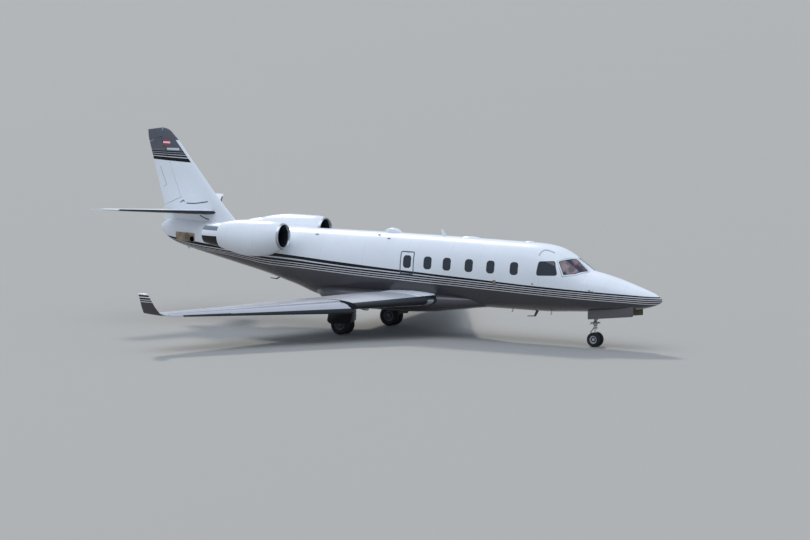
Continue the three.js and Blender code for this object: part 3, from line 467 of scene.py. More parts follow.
def skin_shaded(piece):
    """Exact normals on the faces that lie on the fuselage's outer skin."""
    shaded(piece, 30)
    mesh = piece.data
    count = len(mesh.loops)
    points = np.empty(len(mesh.vertices) * 3)
    mesh.vertices.foreach_get("co", points)
    points = points.reshape(-1, 3)
    corner_vertex = np.empty(count, dtype=np.int64)
    mesh.loops.foreach_get("vertex_index", corner_vertex)
    normals = np.array([corner.vector[:] for corner in mesh.corner_normals])
    sizes = np.array([face.loop_total for face in mesh.polygons])
    flat = np.repeat(np.array([face.normal[:] for face in mesh.polygons]), sizes, axis=0)
    exact = fuselage_normals(points)
    near = np.abs(fuselage_level(points) - 1) < 0.012
    take = near[corner_vertex] & (np.sum(exact[corner_vertex] * flat, axis=1) > 0.94)
    normals[take] = exact[corner_vertex][take]
    mesh.normals_split_custom_set(normals.tolist())


def dress(piece, finish, nodes=(), body="airframe", angle=35, flat=False):
    """Finish and body of a piece, and the CAD nodes that it stands for, which it hides; flat keeps long faces
    flat.
    """
    if finish:
        piece.data.materials.clear()
        piece.data.materials.append(M[finish])
    shaded(piece, 30 if flat else angle)
    if flat:
        modified(piece, "WEIGHTED_NORMAL", keep_sharp=True)
    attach(piece, body)
    if nodes:
        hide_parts(*nodes)
    return piece


def dress_all(name, pieces, finish, nodes=(), body="airframe", angle=35):
    return dress(joined(name, pieces), finish, nodes, body, angle)


def paint_faces(piece, finish, wanted):
    """Gives a second finish to the faces whose middle and direction meet a rule."""
    piece.data.materials.append(M[finish])
    index = len(piece.data.materials) - 1
    for face in piece.data.polygons:
        if wanted(face.center, face.normal):
            face.material_index = index


# Materials

def linear(code):
    """An sRGB hex colour as linear values with full alpha."""
    parts = [int(code[i:i + 2], 16) / 255 for i in (1, 3, 5)]
    return (*(p / 12.92 if p <= 0.04045 else ((p + 0.055) / 1.055) ** 2.4 for p in parts), 1.0)


def add_node(tree, kind, values=None, links=None, **settings):
    """One node with its settings, its input values and the sockets that feed its inputs."""
    node = tree.nodes.new(kind)
    for name, value in settings.items():
        setattr(node, name, value)
    for socket, value in (values or {}).items():
        node.inputs[socket].default_value = value
    for socket, source in (links or {}).items():
        tree.links.new(source, node.inputs[socket])
    return node


def paint_of(code):
    """A colour written as sRGB hex, or the user's own paint by its name."""
    return linear(code) if code.startswith("#") else tuple(getattr(bpy.context.scene.jet_paint, code))


def ramp_stops(node, stops, interpolation="LINEAR"):
    """Gives a colour ramp its places and colours."""
    ramp = node.color_ramp
    ramp.interpolation = interpolation
    while len(ramp.elements) > 1:
        ramp.elements.remove(ramp.elements[-1])
    ramp.elements[0].position, ramp.elements[0].color = stops[0][0], paint_of(stops[0][1])
    for place, code in stops[1:]:
        ramp.elements.new(place).color = paint_of(code)


def curve_points(node, points):
    """Lays a float curve through points in 0 to 1."""
    curve = node.mapping.curves[0]
    curve.points[0].location, curve.points[-1].location = points[0], points[-1]
    for place in points[1:-1]:
        curve.points.new(*place)
    for point in curve.points:
        point.handle_type = "AUTO_CLAMPED"
    node.mapping.use_clip = False
    node.mapping.update()


def new_surface(name, **constants):
    """A material with a principled shader whose constant sockets are set on the shader itself."""
    material = bpy.data.materials.new(name)
    material.use_nodes = True
    tree = material.node_tree
    tree.nodes.clear()
    shader = add_node(tree, "ShaderNodeBsdfPrincipled",
                      values={key.replace("_", " ").title().replace("Ior", "IOR"): value
                              for key, value in constants.items()})
    add_node(tree, "ShaderNodeOutputMaterial", links={"Surface": shader.outputs["BSDF"]})
    place = add_node(tree, "ShaderNodeTexCoord").outputs["Object"]
    return material, tree, shader, place


def flat_colour(tree, code):
    colour = add_node(tree, "ShaderNodeRGB").outputs[0]
    colour.default_value = paint_of(code)
    return colour


def overpaint(tree, below, code, *limits):
    """Lays a colour over another where each (value, low, high) holds."""
    mask = None
    for value, low, high in limits:
        band = add_node(tree, "ShaderNodeMath", operation="COMPARE", links={0: value},
                        values={1: (low + high) / 2, 2: (high - low) / 2}).outputs[0]
        mask = band if mask is None else add_node(tree, "ShaderNodeMath", operation="MULTIPLY",
                                                  links={0: mask, 1: band}).outputs[0]
    return add_node(tree, "ShaderNodeMix", data_type="RGBA", links={0: mask, 6: below},
                    values={7: paint_of(code)}).outputs[2]


def weather(tree, shader, place, colour, tone, patch, roughness, swing):
    """Uneven tone and gloss over patches of a size in metres, as handling and weather leave them."""
    noise = add_node(tree, "ShaderNodeTexNoise", links={"Vector": place},
                     values={"Scale": 1 / patch, "Detail": 5.0, "Roughness": 0.6})
    shade = add_node(tree, "ShaderNodeMapRange", links={"Value": noise.outputs["Fac"]},
                     values={"From Min": 0.3, "From Max": 0.7, "To Min": 1 - tone, "To Max": 1 + tone * 0.4})
    tinted = add_node(tree, "ShaderNodeMix", data_type="RGBA", blend_type="MULTIPLY",
                      values={0: 1.0}, links={6: colour, 7: shade.outputs[0]})
    tree.links.new(tinted.outputs[2], shader.inputs["Base Color"])
    gloss = add_node(tree, "ShaderNodeMapRange", links={"Value": noise.outputs["Fac"]},
                     values={"From Min": 0.3, "From Max": 0.7, "To Min": roughness - swing,
                             "To Max": roughness + swing})
    tree.links.new(gloss.outputs[0], shader.inputs["Roughness"])


def grain(tree, shader, place, size, depth, stretch=(1, 1, 1), kind="ShaderNodeTexNoise"):
    """Fine relief of a grain size in metres, with its height in metres."""
    spread = add_node(tree, "ShaderNodeMapping", links={"Vector": place}, values={"Scale": stretch})
    noisy = kind == "ShaderNodeTexNoise"
    texture = add_node(tree, kind, links={"Vector": spread.outputs[0]},
                       values={"Scale": 1 / size, **({"Detail": 3.0} if noisy else {})})
    bump = add_node(tree, "ShaderNodeBump", links={"Height": texture.outputs["Fac" if noisy else "Distance"]},
                    values={"Distance": depth, "Strength": 0.6})
    tree.links.new(bump.outputs[0], shader.inputs["Normal"])


def plain(name, code, roughness, tone=0.08, patch=0.25, swing=0.05, relief=(0.004, 0.0002), stretch=(1, 1, 1),
          kind="ShaderNodeTexNoise", **constants):
    """A surface of one colour with uneven tone and a fine relief."""
    material, tree, shader, place = new_surface(name, **constants)
    weather(tree, shader, place, flat_colour(tree, code), tone, patch, roughness, swing)
    grain(tree, shader, place, *relief, stretch, kind)
    return material


def mottled(name, stops, noise, weathering, relief=None, **constants):
    """A surface whose colour drifts between tones: noise scale and detail, then how it weathers."""
    material, tree, shader, place = new_surface(name, **constants)
    cloud = add_node(tree, "ShaderNodeTexNoise", links={"Vector": place},
                     values={"Scale": noise[0], "Detail": noise[1]})
    tones = add_node(tree, "ShaderNodeValToRGB", links={"Fac": cloud.outputs["Fac"]})
    ramp_stops(tones, stops)
    weather(tree, shader, place, tones.outputs[0], *weathering)
    if relief:
        grain(tree, shader, place, *relief)
    return material


# Livery edges along the fuselage: x, then z of the upper edge, of the light line under the broad black
# band, of the first pinstripe and of the belly
STRIPE = (
    (-8.50, 2.420, 2.380, 2.355, 2.330),
    (-7.70, 2.360, 2.305, 2.272, 2.235),
    (-7.25, 2.320, 2.245, 2.205, 2.150),
    (-6.77, 2.275, 2.187, 2.135, 2.060),
    (-5.81, 2.195, 2.120, 2.061, 1.975),
    (-4.87, 2.155, 2.071, 1.992, 1.875),
    (-3.96, 2.120, 2.024, 1.917, 1.765),
    (-3.50, 2.105, 2.012, 1.902, 1.748),
    (-2.77, 2.066, 1.981, 1.876, 1.731),
    (-2.26, 2.034, 1.945, 1.850, 1.706),
    (-1.75, 2.001, 1.911, 1.824, 1.678),
    (-1.25, 1.971, 1.880, 1.799, 1.651),
    (-0.76, 1.941, 1.858, 1.776, 1.628),
    (-0.10, 1.904, 1.833, 1.750, 1.604),
    (0.39, 1.879, 1.810, 1.733, 1.586),
    (1.05, 1.848, 1.785, 1.707, 1.558),
    (1.69, 1.815, 1.752, 1.683, 1.536),
    (2.34, 1.786, 1.722, 1.661, 1.516),
    (2.98, 1.757, 1.698, 1.634, 1.489),
    (3.79, 1.716, 1.662, 1.606, 1.460),
    (4.58, 1.678, 1.626, 1.571, 1.427),
    (5.35, 1.648, 1.592, 1.536, 1.400),
    (6.10, 1.615, 1.567, 1.512, 1.374),
    (6.83, 1.585, 1.540, 1.484, 1.352),
    (7.54, 1.556, 1.513, 1.455, 1.330),
    (8.07, 1.526, 1.491, 1.436, 1.302),
    (8.50, 1.505, 1.475, 1.420, 1.300),
)
STRIPE_REACH = 8.5
STRIPE_HIGH = 3.0
WHITE = "#EEF1F5"
TAUPE = "#413E41"
BELLY_PAINT = {"coat": 0.9, "coat_blur": 0.26}
UPPER_COAT = 0.12
BLACK = "#050608"
SILVER = "#D8D4D6"
WING_GREY = "#BDBEC4"
SLATE = "#5E616A"

# Bands down the side, each stretch between two of those edges being a third
STRIPE_BANDS = (
    (0.0, "upper"), (0.0005, "stripe"), (0.3333, "#DADCE2"), (0.465, "stripe"), (0.6667, "pinstripe"),
    (0.7200, "#0E0E11"), (0.8080, "pinstripe"), (0.8600, "#0E0E11"), (0.9450, "pinstripe"), (0.9990, "belly"),
)

# Bands up the fin from the foot of its coloured cap, as shares of their whole height
FIN_BANDS = (
    (0.0, "upper"), (0.0005, "stripe"), (0.290, "#D2D4D9"), (0.360, "stripe"), (0.500, "#B4B6BD"),
    (0.560, "#15161A"), (0.680, "#A3A5AD"), (0.730, "#1C1E24"), (0.860, "#9A9CA5"), (0.905, "#272A31"),
    (0.965, "#8C8F98"), (0.9999, SLATE),
)

# The bands' lower and upper edge as z over x, the fin's leading edge with its white strip, and the streak
# on the cap
FIN_FOOT = {"slope": -0.0357, "z": 4.2738}
FIN_TOP = {"slope": 0.0115, "z": 4.9768}
FIN_LEADING = {"slope": 0.8473, "x": -3.0402, "strip": 0.078, "front": -2.8, "from": 4.3, "to": 5.16}
FIN_STREAK = {"shares": (0.93, 1.10), "x": (-7.78, -7.36)}

# Paint of the wing root: how far out it reaches, where taupe turns white, and the thin line along it
WING_ROOT = {"out": 1.16, "rear": -2.2, "middle": 0.12, "front": 2.0, "line": (1.005, 1.025)}

# Winglet bands: low z, high z, paint
WINGLET_BANDS = ((1.372, 1.396, "pinstripe"), (1.396, 1.428, "stripe"), (1.428, 1.450, "pinstripe"),
                 (1.450, 1.496, "stripe"), (1.496, 1.526, "upper"), (1.526, 1.574, "stripe"),
                 (1.574, 1.660, "upper"))

# Doors of the thrust reverser: low z, high z, paint
REVERSER_BANDS = ((2.730, 2.845, "#7E878F"), (2.0, 2.572, "#1D1A17"))


def livery_colour(tree, place):
    """White above, stripes along the sides and taupe below, by place along and up the fuselage."""
    axes = add_node(tree, "ShaderNodeSeparateXYZ", links={0: place}).outputs
    along = add_node(tree, "ShaderNodeMapRange", clamp=True, links={"Value": axes[0]},
                     values={"From Min": -STRIPE_REACH, "From Max": STRIPE_REACH})
    edges = []
    for column in range(1, 5):
        curve = add_node(tree, "ShaderNodeFloatCurve", links={"Value": along.outputs[0]})
        curve_points(curve, [((row[0] + STRIPE_REACH) / (2 * STRIPE_REACH), row[column] / STRIPE_HIGH)
                             for row in STRIPE])
        edges.append(add_node(tree, "ShaderNodeMath", operation="MULTIPLY", links={0: curve.outputs[0]},
                              values={1: STRIPE_HIGH}).outputs[0])
    share = None
    for above, below in zip(edges, edges[1:]):
        part = add_node(tree, "ShaderNodeMapRange", clamp=True, values={"To Min": 0.0, "To Max": 1 / 3},
                        links={"Value": axes[2], "From Min": above, "From Max": below}).outputs[0]
        share = part if share is None else add_node(tree, "ShaderNodeMath", operation="ADD",
                                                    links={0: share, 1: part}).outputs[0]
    bands = add_node(tree, "ShaderNodeValToRGB", links={"Fac": share})
    ramp_stops(bands, STRIPE_BANDS, "CONSTANT")
    return bands.outputs[0]


def fin_colour(tree, place):
    """White below, thin bands that fan out forwards, then the slate cap with a white leading strip."""
    axes = add_node(tree, "ShaderNodeSeparateXYZ", links={0: place}).outputs
    foot, top = (add_node(tree, "ShaderNodeMath", operation="MULTIPLY_ADD", links={0: axes[0]},
                          values={1: line["slope"], 2: line["z"]}).outputs[0] for line in (FIN_FOOT, FIN_TOP))
    share = add_node(tree, "ShaderNodeMapRange", clamp=False,
                     links={"Value": axes[2], "From Min": foot, "From Max": top}).outputs[0]
    bands = add_node(tree, "ShaderNodeValToRGB", links={"Fac": share})
    ramp_stops(bands, FIN_BANDS, "CONSTANT")
    edge = add_node(tree, "ShaderNodeMath", operation="MULTIPLY_ADD", links={0: axes[2], 2: axes[0]},
                    values={1: FIN_LEADING["slope"]}).outputs[0]
    colour = overpaint(tree, bands.outputs[0], "#D9DBE0", (share, *FIN_STREAK["shares"]),
                       (axes[0], *FIN_STREAK["x"]))
    lead = FIN_LEADING
    return overpaint(tree, colour, "upper", (edge, lead["x"] - lead["strip"], lead["front"]),
                     (axes[2], lead["from"], lead["to"]))


def wing_colour(tree, place):
    """Light grey wing with a white strip and a taupe strip along its root."""
    axes = add_node(tree, "ShaderNodeSeparateXYZ", links={0: place}).outputs
    out = add_node(tree, "ShaderNodeMath", operation="ABSOLUTE", links={0: axes[1]}).outputs[0]
    w = WING_ROOT
    colour = overpaint(tree, flat_colour(tree, "wing"), "#77747A", (out, 0.0, w["out"]),
                       (axes[0], w["rear"], w["middle"]))
    colour = overpaint(tree, colour, "upper", (out, 0.0, w["out"]), (axes[0], w["middle"], w["front"]))
    return overpaint(tree, colour, "#8D9096", (out, *w["line"]), (axes[0], w["middle"], w["front"]))


def banded(base, bands):
    """A colour source with bands of height over one colour."""
    def source(tree, place):
        height = add_node(tree, "ShaderNodeSeparateXYZ", links={0: place}).outputs[2]
        colour = flat_colour(tree, base)
        for low, high, code in bands:
            colour = overpaint(tree, colour, code, (height, low, high))
        return colour
    return source


def seams_over(tree, colour, place, pitch, offset, width=0.0035, depth=0.75):
    """Thin dark skin joints square to the length, a pitch apart."""
    axes = add_node(tree, "ShaderNodeSeparateXYZ", links={0: place})
    shifted = add_node(tree, "ShaderNodeMath", operation="ADD", links={0: axes.outputs[0]},
                       values={1: offset})
    wave = add_node(tree, "ShaderNodeMath", operation="PINGPONG", links={0: shifted.outputs[0]},
                    values={1: pitch / 2})
    line = add_node(tree, "ShaderNodeMapRange", links={"Value": wave.outputs[0]},
                    values={"From Min": width * 0.5, "From Max": width, "To Min": depth, "To Max": 1.0})
    return add_node(tree, "ShaderNodeMix", data_type="RGBA", blend_type="MULTIPLY", values={0: 1.0},
                    links={6: colour, 7: line.outputs[0]}).outputs[2]


def enamel(name, source, pitch=1.42, offset=0.70, coat=UPPER_COAT, coat_blur=0.06):
    """Sprayed polyurethane enamel over aluminium skin: even gloss, faint skin joints, a little road film."""
    material, tree, shader, place = new_surface(name, coat_weight=coat, coat_roughness=coat_blur, ior=1.36)
    colour = flat_colour(tree, source) if isinstance(source, str) else source(tree, place)
    weather(tree, shader, place, seams_over(tree, colour, place, pitch, offset), 0.035, 0.9, 0.24, 0.05)
    return material


def striped_enamel():
    """The livery paint, whose metallic taupe belly coat is glossier than the rest."""
    material = enamel("striped_enamel", livery_colour, coat_blur=BELLY_PAINT["coat_blur"])
    tree = material.node_tree
    shader, bands = (next(node for node in tree.nodes if node.type == kind)
                     for kind in ("BSDF_PRINCIPLED", "VALTORGB"))
    gloss = add_node(tree, "ShaderNodeMapRange", links={"Value": bands.inputs["Fac"].links[0].from_socket},
                     values={"From Min": 0.9980, "From Max": 0.9990, "To Min": UPPER_COAT,
                             "To Max": BELLY_PAINT["coat"]})
    tree.links.new(gloss.outputs[0], shader.inputs["Coat Weight"])
    return material


def floor_paint():
    """Matt studio floor paint, very slightly uneven over metres."""
    material, tree, shader, place = new_surface("matt_floor_paint")
    colour = add_node(tree, "ShaderNodeRGB").outputs[0]
    colour.default_value = tuple(bpy.context.scene.jet_stage.floor)
    weather(tree, shader, place, colour, 0.02, 8.0, 0.9, 0.03)
    grain(tree, shader, place, 0.4, 0.0005)
    return material


def make_materials():
    """Every finish by a short name. The numbers after a colour are its roughness, the unevenness of its tone,
    the size of its patches, the swing of its gloss, and the size and height of its grain; sizes in metres."""
    brushed = (0.2, 1, 1)
    ridged = (1, 0.05, 1)
    return {
        # Painted skins: even gloss with faint joints
        "livery": striped_enamel(),
        "reverser": enamel("reverser_enamel", banded("upper", REVERSER_BANDS)),
        "nose_door": enamel("nose_door_enamel", "#645F63", coat=0.5),
        # Outside of the main leg doors: taupe darkened to near black, painted shade
        "leg_door": enamel("leg_door_enamel", "#242426"),
        "white": enamel("white_enamel", "upper", 1.9, 0.2),
        "wing": enamel("wing_grey_enamel", "wing", 1.27, 0.2),
        "wing_top": enamel("wing_panel_enamel", wing_colour, 1.27, 0.2),
        "winglet": enamel("striped_winglet_enamel", banded("#4F4B4D", WINGLET_BANDS)),
        "white_rivet": enamel("rivet_enamel", "#C9CDD3"),
        "cowl": enamel("cowl_enamel", "upper", 0.93, 0.12),
        "taupe": enamel("taupe_enamel", "belly", **BELLY_PAINT),
        "fin": enamel("banded_fin_enamel", fin_colour, 2.6, 0.4),
        # Sprayed enamels on small parts: half gloss
        "spinner": plain("spinner_enamel", "#3A3D43", 0.4, 0.08, 0.1, 0.05, (0.003, 0.0001), metallic=0.2),
        "exit_rim": plain("exit_frame_paint", "#3E4A58", 0.42, 0.06, 0.2, 0.05, (0.003, 0.0001)),
        "rail": plain("rail_enamel", "#C6CCD3", 0.42, 0.08, 0.1, 0.05, (0.003, 0.0001)),
        "patch_red": plain("red_enamel", "#C8213A", 0.3, 0.05, 0.1, 0.03, (0.004, 0.0001), coat_weight=0.5),
        "leg": plain("leg_grey_paint", "#8C9096", 0.42, 0.14, 0.08, 0.08, (0.004, 0.0002)),
        "hub": plain("wheel_enamel", "#C2C5C8", 0.34, 0.12, 0.06, 0.08, (0.004, 0.0001), metallic=0.3),
        # Main wheels: a darker, duller grey than the nose wheels, as painted shade
        "main_hub": plain("dusty_wheel_enamel", "#5E646C", 0.42, 0.16, 0.06, 0.08, (0.004, 0.0001),
                          metallic=0.3),
        # Corrosion primer inside bays and doors: dull olive
        "primer": plain("olive_primer", "#6A6650", 0.62, 0.14, 0.2, 0.08, (0.004, 0.0002)),
        "panel": plain("panel_enamel", "#2A2C30", 0.5, 0.1, 0.1, 0.08, (0.003, 0.0002)),
        # Sprayed fibreglass of the bent aerials: dark and satin
        "antenna": plain("antenna_paint", "#4A4C50", 0.5, 0.08, 0.1, 0.06, (0.003, 0.0001)),
        # Spun and buffed aluminium of the intake lip: bright with soft reflections
        "polished": plain("polished_aluminium", "#C4C8CC", 0.30, 0.05, 0.3, 0.05, (0.003, 0.00004),
                          metallic=1.0),
        # Acoustic lining of the intake: matt and dark
        "duct": plain("duct_lining", "#20242C", 0.55, 0.1, 0.3, 0.06, (0.004, 0.0003)),
        # Forged and milled blades: grey metal with a soft sheen
        "blade": plain("forged_titanium", "#8E9096", 0.3, 0.06, 0.15, 0.05, (0.002, 0.00005), metallic=1.0),
        # Hard chrome on the sliding pistons: bright, smooth, a trace of oil
        "chrome": plain("hard_chrome", "#E2E4E6", 0.08, 0.04, 0.1, 0.03, (0.002, 0.00002), metallic=1.0),
        # Plated bolts, links and masts: yellowish grey, half bright
        "bright": plain("cadmium_plate", "#B9B7AE", 0.34, 0.1, 0.05, 0.08, (0.003, 0.0001), metallic=0.9),
        # Pressed carbon brake discs behind the rims: sooty and rough
        "dark_hub": plain("brake_carbon", "#2B2C2F", 0.6, 0.15, 0.05, 0.08, (0.003, 0.0003)),
        # Anodised frames and scoops: pale satin metal
        "rim": plain("window_frame_alloy", "#8D939C", 0.36, 0.08, 0.2, 0.06, (0.003, 0.0001), metallic=0.5),
        # Worn brass plate under the door: dull and brownish
        "copper": plain("brass_plate", "#8A8172", 0.42, 0.1, 0.05, 0.08, (0.003, 0.0001), metallic=0.3),
        # Nickel alloy browned by exhaust, brushed round the duct: straw and bronze tones in patches
        "hot_dark": mottled("sooted_alloy", ((0.35, "#4A443C"), (0.65, "#2E2925")), (5.0, 4.0),
                            (0.12, 0.2, 0.38, 0.1), (0.002, 0.00008, brushed), metallic=1.0),
        "heat_panel": mottled("bronzed_heat_shield", ((0.35, "#B3A697"), (0.65, "#7E7062")), (5.0, 4.0),
                              (0.12, 0.2, 0.38, 0.1), (0.002, 0.00008, brushed), metallic=1.0),
        # Stretched acrylic with a dark tint: sharp reflections over a dim cabin
        "glass": plain_glass("tinted_acrylic", "#252F3B"),
        # Heated windscreen glass with a gold film: violet, with bluer patches, and lighter patches that are
        # painted reflections
        "screen": mottled("windscreen_glass", ((0.38, "#1E2336"), (0.50, "#462A3C"), (0.60, "#86696E")),
                          (4.2, 1.0), (0.12, 0.35, 0.06, 0.015), ior=1.49, coat_weight=0.5,
                          coat_roughness=0.02),
        # Moulded lamp covers: clear and sharp
        "lens": plain("lamp_lens", "#E9EEF2", 0.06, 0.03, 0.05, 0.02, (0.006, 0.0004), ior=1.45,
                      transmission_weight=0.6),
        # Cover glass of the cockpit displays: dark and glossy
        "display": plain("display_glass", "#0D1A26", 0.1, 0.05, 0.1, 0.03, (0.003, 0.00002), ior=1.5),
        # Neoprene de-icing boot: dark blue-black, satin, with the faint ridges of its air tubes
        "boot": plain("neoprene_boot", "#10141D", 0.36, 0.16, 0.4, 0.08, (0.03, 0.0006), ridged, ior=1.5),
        # Moulded rubbers and plastics: dark and dull
        "seal": plain("rubber_seal", "#3A3E44", 0.6, 0.12, 0.1, 0.08, (0.003, 0.0002)),
        "black": plain("black_trim", "#121316", 0.5, 0.1, 0.1, 0.08, (0.003, 0.0002)),
        "hose": plain("braided_hose", "#3A3B3F", 0.55, 0.15, 0.03, 0.08, (0.002, 0.0004)),
        # Aircraft tyre compound: near-black, dusted grey, with a fine moulded grain
        "tyre": plain("tyre_rubber", "#1A1A1C", 0.72, 0.22, 0.06, 0.1, (0.003, 0.0004)),
        # Dyed upholstery leather: soft satin with a pebbled grain of about three millimetres
        "leather": plain("stitched_leather", "seats", 0.46, 0.1, 0.12, relief=(0.0032, 0.0003),
                         kind="ShaderNodeTexVoronoi", sheen_weight=0.15),
        # Cut-pile wool carpet: matt, with tufts drawn at six millimetres so that they show
        "carpet": plain("wool_carpet", "#6E675F", 0.95, 0.25, 0.02, relief=(0.006, 0.002), sheen_weight=0.3),
        # Decorative laminate of the cabin walls: cream, satin
        "lining": plain("cabin_laminate", "#CFC9BC", 0.55, 0.05, 0.3, 0.05, (0.003, 0.0001)),
    }


def plain_glass(name, code):
    """Tinted glazing without any relief."""
    material, tree, shader, place = new_surface(name, ior=1.49, transmission_weight=0.35, coat_weight=0.5,
                                                coat_roughness=0.02)
    weather(tree, shader, place, flat_colour(tree, code), 0.12, 0.35, 0.05, 0.015)
    return material


M = {}


# Camera and stage

CAMERA = {"place": (67.5388, -117.2885, 15.2706), "yaw": 0.520826, "pitch": 0.0993716, "roll": 0.010031,
          "focal_pixels": 4768.7}
PICTURE_WIDTH = 810
SENSOR = 36.0
KEY_FROM = (-36, 35, 40)
KEY_SPREAD = 7.0
OVERHEAD_FROM = (0, -14, 40)
OVERHEAD_SPREAD = 60.0
FLOOR_CORNERS = ((-160, -160, 0), (160, -160, 0), (160, 220, 0), (-160, 220, 0))


def make_camera():
    """The photograph's viewpoint, far off and slightly above."""
    yaw, pitch, roll = CAMERA["yaw"], CAMERA["pitch"], CAMERA["roll"]
    ahead = Vector((-math.sin(yaw) * math.cos(pitch), math.cos(yaw) * math.cos(pitch), -math.sin(pitch)))
    level = ahead.cross(UP).normalized()
    upright = level.cross(ahead)
    right = level * math.cos(roll) + upright * math.sin(roll)
    above = upright * math.cos(roll) - level * math.sin(roll)
    data = bpy.data.cameras.new("viewpoint")
    data.sensor_width = SENSOR
    data.lens = CAMERA["focal_pixels"] * SENSOR / PICTURE_WIDTH
    data.clip_start, data.clip_end = 1.0, 600.0
    camera = linked("viewpoint", data)
    camera.matrix_world = (Matrix.Translation(CAMERA["place"])
                           @ Matrix((right, above, -ahead)).transposed().to_4x4())
    bpy.context.scene.camera = camera


def soft_light(name, origin, power, spread, code):
    """An even light from far off, soft by its spread in degrees."""
    data = bpy.data.lights.new(name, "SUN")
    data.angle = math.radians(spread)
    data.energy = power
    data.color = linear(code)[:3]
    lamp = linked(name, data)
    lamp.location = origin
    lamp.rotation_euler = (-Vector(origin)).to_track_quat("-Z", "Y").to_euler()


def make_stage():
    """A plain pale floor, a soft key from high behind the port side and a pale blue surround."""
    floor = mesh_object("studio_floor", FLOOR_CORNERS, [(0, 1, 2, 3)])
    floor.data.materials.append(floor_paint())
    stage = bpy.context.scene.jet_stage
    soft_light("key", KEY_FROM, stage.key_power, KEY_SPREAD, "#FFF6EA")
    soft_light("overhead", OVERHEAD_FROM, stage.overhead_power, OVERHEAD_SPREAD, "#F2F6FF")
    world = bpy.data.worlds.new("pale_surround")
    world.use_nodes = True
    background = world.node_tree.nodes["Background"]
    background.inputs["Color"].default_value = linear("#C9D9EC")
    background.inputs["Strength"].default_value = stage.surround
    bpy.context.scene.world = world
    bpy.context.scene.view_settings.view_transform = "Standard"


# Fuselage skins

NOSE_BAY = ((6.300, -0.290, 0.0), (7.740, 0.290, 1.400))

# The auxiliary exhaust on the starboard side, and depths that a hole through one side runs between
EXHAUST = {"x": -6.723, "z": 2.320, "radius": 0.080, "lip": 0.0795, "near": -0.05, "far": -0.60}

# Treads of the airstair: height of the first over the sill, their pitch, opposite corners of one, and how
# far the door turns down, so that they lie level on the open door
TREADS = {"count": 4, "first": 0.250, "pitch": 0.270, "low": (-0.240, -0.220, -0.013),
          "high": (0.240, 0.010, 0.013), "opens": 125}

# Outer and inner depth of the seals, panes, cockpit frames and panes, and of the line round the windscreen
SEAL_DEPTHS = (0.002, 0.030)
PANE_DEPTHS = (0.006, 0.018)
FRAME_DEPTHS = (0.001, 0.035)
SCREEN_DEPTHS = (0.005, 0.022)
LINE_DEPTHS = (-0.0012, 0.004)

# Rear and front station of the rings that become the cockpit glass, the line round the windscreen and the
# baggage door, and the rear station of the airstair door
COCKPIT_GLASS_REACH = (4.85, 6.26)
SURROUND_REACH = (5.2, 6.6)
BAGGAGE_REACH = (-3.5, -2.4)
AIRSTAIR_REAR = 3.9

# How far the cockpit frames and panes stand inside their openings, how far the surround line stands outside,
# and the station ahead of which the windscreen's film starts
FRAME_EDGE = 0.018
PANE_EDGE = 0.0183
SURROUND_EDGES = (-0.038, -0.028)
FILM_FROM = 5.54

# Corner radius and half depth of the windscreen's cut, how much its corners outrun its edges when it shrinks,
# and the corner radius of a side pane
SCREEN_CUT = {"corner": 0.05, "reach": 0.19, "mitre": 1.4}
SIDE_PANE_CORNER = 0.075

# Depth past which a face of the skin counts as inside, and where the hollows of aft section and tail cone end
INSIDE_FROM = 0.012
AFT_HOLLOW_SHORT = 0.07
CONE_HOLLOW_TO = -7.0

# A box wider than the fuselage, to split it at a height: rear, right and low corner, then the far one
ALL_ROUND = ((-9, -2, 0), (9, 2, 4))


def shell(name, rear, front, outer=0.0, inner=WALL, step=STATION_STEP):
    """A layer of the fuselage wall between two stations and two depths, open at both ends."""
    places = stations(rear, front, step)
    return loft(name, [fuselage_ring(x, outer) for x in places]
                + [fuselage_ring(x, inner) for x in reversed(places)], closed=True)


def opening_tool(name, x, z, width, height, radius, side=1, shrink=0.0):
    """A round-cornered opening carried through one side of the fuselage."""
    outline = rounded_outline(x, z, width - 2 * shrink, height - 2 * shrink, radius - shrink)
    return side_prism(name, outline, side * OPENING_NEAR, side * OPENING_FAR)


def window_tool(name, x, side, shrink=0.0):
    return opening_tool(name, x, WINDOW["z"], sizes().window_width, sizes().window_height, WINDOW["radius"],
                        side, shrink)


def door_tool(name, door, side=1, shrink=0.0):
    return opening_tool(name, door["x"], door["sill"] + door["height"] / 2, door["width"], door["height"],
                        door["radius"], side, shrink)


def windscreen_tool(name, side, shrink=0.0):
    """One windscreen pane's outline, carried through the skin square to the pane."""
    corners = [Vector((x, side * y, z)) for x, y, z in WINDSCREEN]
    middle = sum(corners, Vector()) / len(corners)
    outer_top, outer_bottom, _, inner_bottom, inner_top, _ = corners
    out = (inner_bottom - outer_top).cross(inner_top - outer_bottom).normalized()
    if out.x < 0:
        out.negate()
    drawn = rounded_corners([p + (middle - p).normalized() * shrink * SCREEN_CUT["mitre"] for p in corners],
                            SCREEN_CUT["corner"])
    return loft(name, [np.array([tuple(p + out * way * SCREEN_CUT["reach"]) for p in drawn])
                       for way in (-1, 1)])


def side_pane_tool(name, side, shrink=0.0):
    """One cockpit side window's outline, carried through its side of the fuselage."""
    middle_x, middle_z = (sum(column) / len(SIDE_PANE) for column in zip(*SIDE_PANE))
    corners = [(x + math.copysign(shrink, middle_x - x), 0.0, z + math.copysign(shrink, middle_z - z))
               for x, z in SIDE_PANE]
    return side_prism(name, [(p.x, p.z) for p in rounded_corners(corners, SIDE_PANE_CORNER)],
                      side * OPENING_NEAR, side * OPENING_FAR)


def side_windows(side):
    """Window stations of one side; to port the door takes the place of the first."""
    return WINDOW_X[1:] if side > 0 else WINDOW_X


def exhaust_tool(name, radius):
    return tube(name, [(EXHAUST["x"], EXHAUST[end], EXHAUST["z"]) for end in ("near", "far")], radius, 40)


